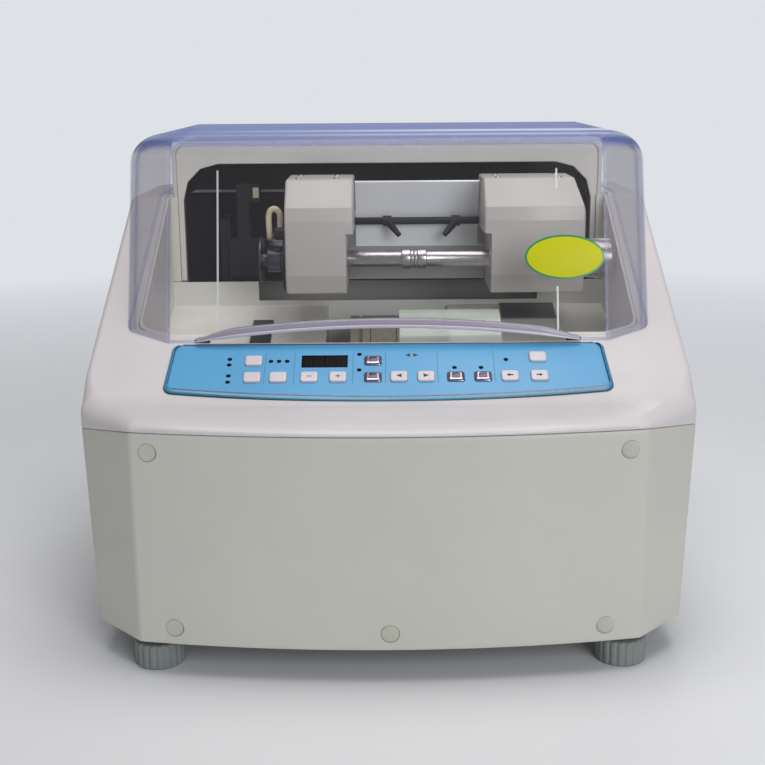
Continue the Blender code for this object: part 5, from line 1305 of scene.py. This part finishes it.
def makeShield():
    # The sheet leans forward as the square of its height.
    low, high = shield["height"]
    t = np.linspace(0, 1, 25)
    rear = np.stack([shield["foot"] - shield["lean"] * t ** 2, low + (high - low) * t], 1)
    slope = unit(np.gradient(rear, axis=0))
    front = rear + np.stack([-slope[:, 1], slope[:, 0]], 1) * shield["thick"]
    path = np.concatenate([rear, front[::-1]])
    room = shield["room"]
    # The shield's near-opaque white is a painted reflection on a clear sheet.
    add("splashShield", [prismShape(path, "X", head["left"][1] + room, head["right"][0] - room)],
        "clearSheet", "head", ["splash_shield"])
    dress(cleanCopy("nozzleBar", "coolant_manifold"), "blackPart", "head",
          ["coolant_manifold"], 50, 0.0004)
    near, far, y, top = pipe["near"], pipe["far"], pipe["y"], pipe["top"]
    foot, leg = pipe["foot"], pipe["leg"]
    route = smoothRoute([(near, y, foot + 0.003), (near, y, top - leg), (near - leg, y, top),
                         (far, y, top - leg), (far, y, foot), (far, y + 2 * leg, foot - leg),
                         (far, head["back"] - leg, foot - 2 * leg)]
                        + [(x, pipe["endY"], foot - 3 * leg) for x in pipe["endX"]])
    add("coolantPipe", [tubeShape(route, pipe["radius"])], "pipeBeige", "head",
        ["coolant_pipe"], 50)
    add("pipeFitting", [turnShape(softProfile(pipe["fitting"], 0.0005), (y, foot), "X", 40)],
        "blackPart", "head", (), 50)
    print("stage: shield and pipe")


# Chamber, wheels and the pieces behind

chamber = {
    "floorLow": (0.118, 0.190), "floorHigh": (0.3095, 0.246), "plateThick": 0.0012,
    "plates": [(-0.1272, -0.1082, 0.2300, 0.2745), (0.1085, 0.1600, 0.2765, 0.3060)],
    "notch": (0.120, 0.1315), "notchTop": 0.27, "sillBack": 0.1271,
    "guide": (0.165, 0.01), "guideAxis": (0.372, 0.299),
    "sensor": (-0.1271, 0.3525, 0.0058, 0.0100), "sensorY": (0.3268, 0.3280),
}
# Name, node, body, finish, slot, smoothing angle and bevel of the pieces that follow the CAD
chamberCopies = [
    ("backShroud", "back_shroud", "base", "innerWhite", "tub_grey", 35, 0.0008),
    # The guard's pale tint is partly a painted reflection.
    ("splashGuard", "splash_guard", "base", "clearGuard", "clear_sheet", 50, 0),
    ("sizingColumn", "sizing_column", "base", "blackPart", "black_part", 35, 0.0006),
    ("mechanismFrame", "mechanism_frame", "base", "blackPart", "cast_alloy", 35, 0.0008),
    ("rearPanel", "rear_panel", "base", "zincPlate", "zinc_plate", 35, 0),
    ("basePlate", "base_plate", "base", "zincPlate", "zinc_plate", 35, 0),
    ("powerInlet", "power_inlet", "base", "blackPart", "black_part", 35, 0.0003),
]
carriageCopies = [
    ("powerRocker", "power_rocker", "rocker", "rubber", "rubber", 35, 0.0003),
    ("carriageBlock", "carriage_block", "carriage", "castAlloy", "cast_alloy", 35, 0.0006),
]
driveCopies = [
    ("spindleShaft", "grinding_spindle", "spindle", "steel", "steel", 35, 0),
    ("spindlePulley", "spindle_pulley", "spindle", "blackPart", "black_part", 35, 0),
    ("motorPulley", "motor_pulley", "motor_rotor", "blackPart", "black_part", 35, 0),
    ("spindleHousing", "spindle_housing", "base", "castAlloy", "cast_alloy", 35, 0),
    ("mainMotor", "main_motor", "base", "blackPart", "motor_black", 35, 0),
    ("driveBelt", "drive_belt", "base", "rubber", "rubber", 35, 0),
    ("drainPipe", "drain_pipe", "base", "blackPart", "black_part", 35, 0),
    ("keyBoard", "key_board", "base", "boardGreen", "board_green", 35, 0),
]


def dressCopies(rows):
    for name, node, body, look, slot, angle, bevel in rows:
        dress(cleanCopy(name, node), look, body, [node], angle, bevel)


def floorPlate(left, right, near, far):
    # A thin dark plate that lies on the tub's sloping floor.
    (y0, z0), (y1, z1) = chamber["floorLow"], chamber["floorHigh"]
    ends = [(y, z0 + (y - y0) * (z1 - z0) / (y1 - y0) + gap) for y in (near, far)]
    path = ends + [(y, z + chamber["plateThick"]) for y, z in ends[::-1]]
    return prismShape(np.array(path), "X", left, right)


def makeChamber():
    tub = cleanCopy("chamberTub", "chamber_tub")
    half, level = shell["bayHalf"] - 0.002, shell["bayFloor"]
    trim(tub, [boxShape((-half, half), chamber["notch"], (level, chamber["notchTop"]))])
    sill = boxShape((-half, half), (shell["bayFront"] + gap, chamber["sillBack"]),
                    (level - chamber["plateThick"], level))
    add("mouthSill", [sill], "tubGrey", "base")
    dress(tub, "tubGrey", "base", ["chamber_tub"], 35, 0.0012)
    dressCopies(chamberCopies)
    add("floorPlates", [floorPlate(*place) for place in chamber["plates"]], "slotGrey", "base")
    dressCopies(carriageCopies)
    end, turn = chamber["guide"]
    rod = softProfile([(-end, 0.0005), (-end, turn), (end, turn), (end, 0.0005)], 0.001)
    add("guideShaft", [turnShape(rod, chamber["guideAxis"], "X", 64)], "steel", "base",
        ["guide_shaft"])
    sensor = softPrism(plateCorners(*chamber["sensor"], 0.0008), "Y", *chamber["sensorY"], 0.0003)
    add("sizingSensor", [sensor], "pipeBeige", "base")
    print("stage: chamber")


wheels = {
    "axis": (0.248, 0.195), "bore": 0.0093, "radius": 0.050, "hub": 0.019,
    "places": {"wheelBevel": ("bevel_wheel", -0.0342, 0.018),
               "wheelFinish": ("finish_wheel", -0.0159, 0.0234),
               "wheelRough": ("rough_wheel", 0.0078, 0.024)},
}


def wheelShape(left, wide, groove):
    right, turn, bore, hub = left + wide, wheels["radius"], wheels["bore"], wheels["hub"]
    middle = (left + right) / 2
    profile = [(left, hub - 0.002), (left + 0.002, hub), (left + 0.002, turn - 0.008),
               (left, turn - 0.006), (left, turn - 0.0004), (left + 0.0004, turn)]
    if groove:
        profile += [(middle - 0.002, turn), (middle, turn - 0.002), (middle + 0.002, turn)]
    profile += [(right - 0.0004, turn), (right, turn - 0.0004), (right, turn - 0.006),
                (right - 0.002, turn - 0.008), (right - 0.002, hub), (right, hub - 0.002),
                (right, bore), (left, bore)]
    return turnShape(profile, wheels["axis"], "X", 120, "loop")


def makeWheels():
    for name, (node, left, wide) in wheels["places"].items():
        add(name, [wheelShape(left, wide, node == "bevel_wheel")], "gritWheel", "spindle",
            [node])
    dressCopies(driveCopies)
    print("stage: wheels and drive")


# Floor, light and camera

studio = {
    "reach": 6.0, "floor": (232, 233, 236), "fade": (0.7, 2.0), "backdrop": (222, 225, 230),
    "world": (236, 238, 242), "worldStrength": 0.28,
    "lights": [
        # name, place, look-at, size, watts, colour
        ("topSoft", (0.1, -0.2, 1.9), (0, 0, 0.2), 1.3, 18, (255, 252, 248)),
        ("frontSoft", (0.9, -2.0, 0.95), (0, 0, 0.22), 1.1, 19, (252, 252, 255)),
        ("backSoft", (0.4, 1.6, 1.5), (0, 0, 0.3), 1.2, 7, (240, 246, 255)),
    ],
}
view = {"y": -1.1234, "z": 0.4597, "pitch": 13.7, "roll": -0.41, "lens": 58.82, "sensor": 36.0,
        "shiftX": -0.0077}


def makeStudio():
    reach = studio["reach"]
    mesh = bpy.data.meshes.new("floor")
    mesh.from_pydata([(-reach, -reach, 0), (reach, -reach, 0), (reach, reach, 0),
                      (-reach, reach, 0)], [], [(0, 1, 2, 3)])
    floor = linkObject("floor", mesh)
    material, tree, shader = newMaterial("paleFloor")
    noise = addNode(tree, "TexNoise", {"Scale": 3.0}).outputs["Fac"]
    place = addNode(tree, "TexCoord").outputs["Object"]
    away = addNode(tree, "VectorMath", {0: place}, operation="LENGTH").outputs["Value"]
    setInputs(tree, shader, {
        "Base Color": mixNode(tree, "RGBA", noise, toLinear(studio["floor"]),
                              toLinear([c - 3 for c in studio["floor"]])),
        "Roughness": 0.7, "Alpha": mapRange(tree, away, 1.0, 0.0, *studio["fade"])})
    mesh.materials.append(material)

    world = bpy.data.worlds.new("studioWorld")
    bpy.context.scene.world = world
    world.use_nodes = True
    tree = world.node_tree
    lit = tree.nodes["Background"]
    setInputs(tree, lit, {"Color": toLinear(studio["world"]), "Strength": studio["worldStrength"]})
    seen = addNode(tree, "Background", {"Color": toLinear(studio["backdrop"])})
    blend = addNode(tree, "MixShader", {
        0: addNode(tree, "LightPath").outputs["Is Camera Ray"], 1: lit.outputs[0],
        2: seen.outputs[0]})
    tree.links.new(blend.outputs[0], tree.nodes["World Output"].inputs["Surface"])
    for name, place, aim, size, watts, colour in studio["lights"]:
        lamp = bpy.data.lights.new(name, "AREA")
        lamp.size = size
        lamp.energy = watts
        lamp.color = toLinear(colour)[:3]
        item = linkObject(name, lamp)
        item.rotation_mode = "QUATERNION"
        item.rotation_quaternion = (Vector(aim) - Vector(place)).to_track_quat("-Z", "Y")
        item.location = place
    print("stage: studio")


def makeCamera():
    lens = bpy.data.cameras.new("camera")
    lens.lens = view["lens"]
    lens.sensor_width = view["sensor"]
    lens.shift_x = view["shiftX"]
    lens.clip_start = 0.01
    camera = linkObject("camera", lens)
    camera.rotation_mode = "XYZ"
    tilt = Matrix.Rotation(math.radians(90 - view["pitch"]), 4, "X")
    roll = Matrix.Rotation(math.radians(view["roll"]), 4, "Z")
    camera.matrix_world = Matrix.Translation((0, view["y"], view["z"])) @ tilt @ roll
    scene = bpy.context.scene
    scene.camera = camera
    scene.view_settings.view_transform = "Standard"


for make in (makeStudio, makeCamera, makeHousing, makeCover, makeHood, makeHandle, makeSticker,
             makePanel, makeDisplay, makeKeys, makeFeet, makeHead, makeShafts, makeShield,
             makeChamber, makeWheels):
    make()
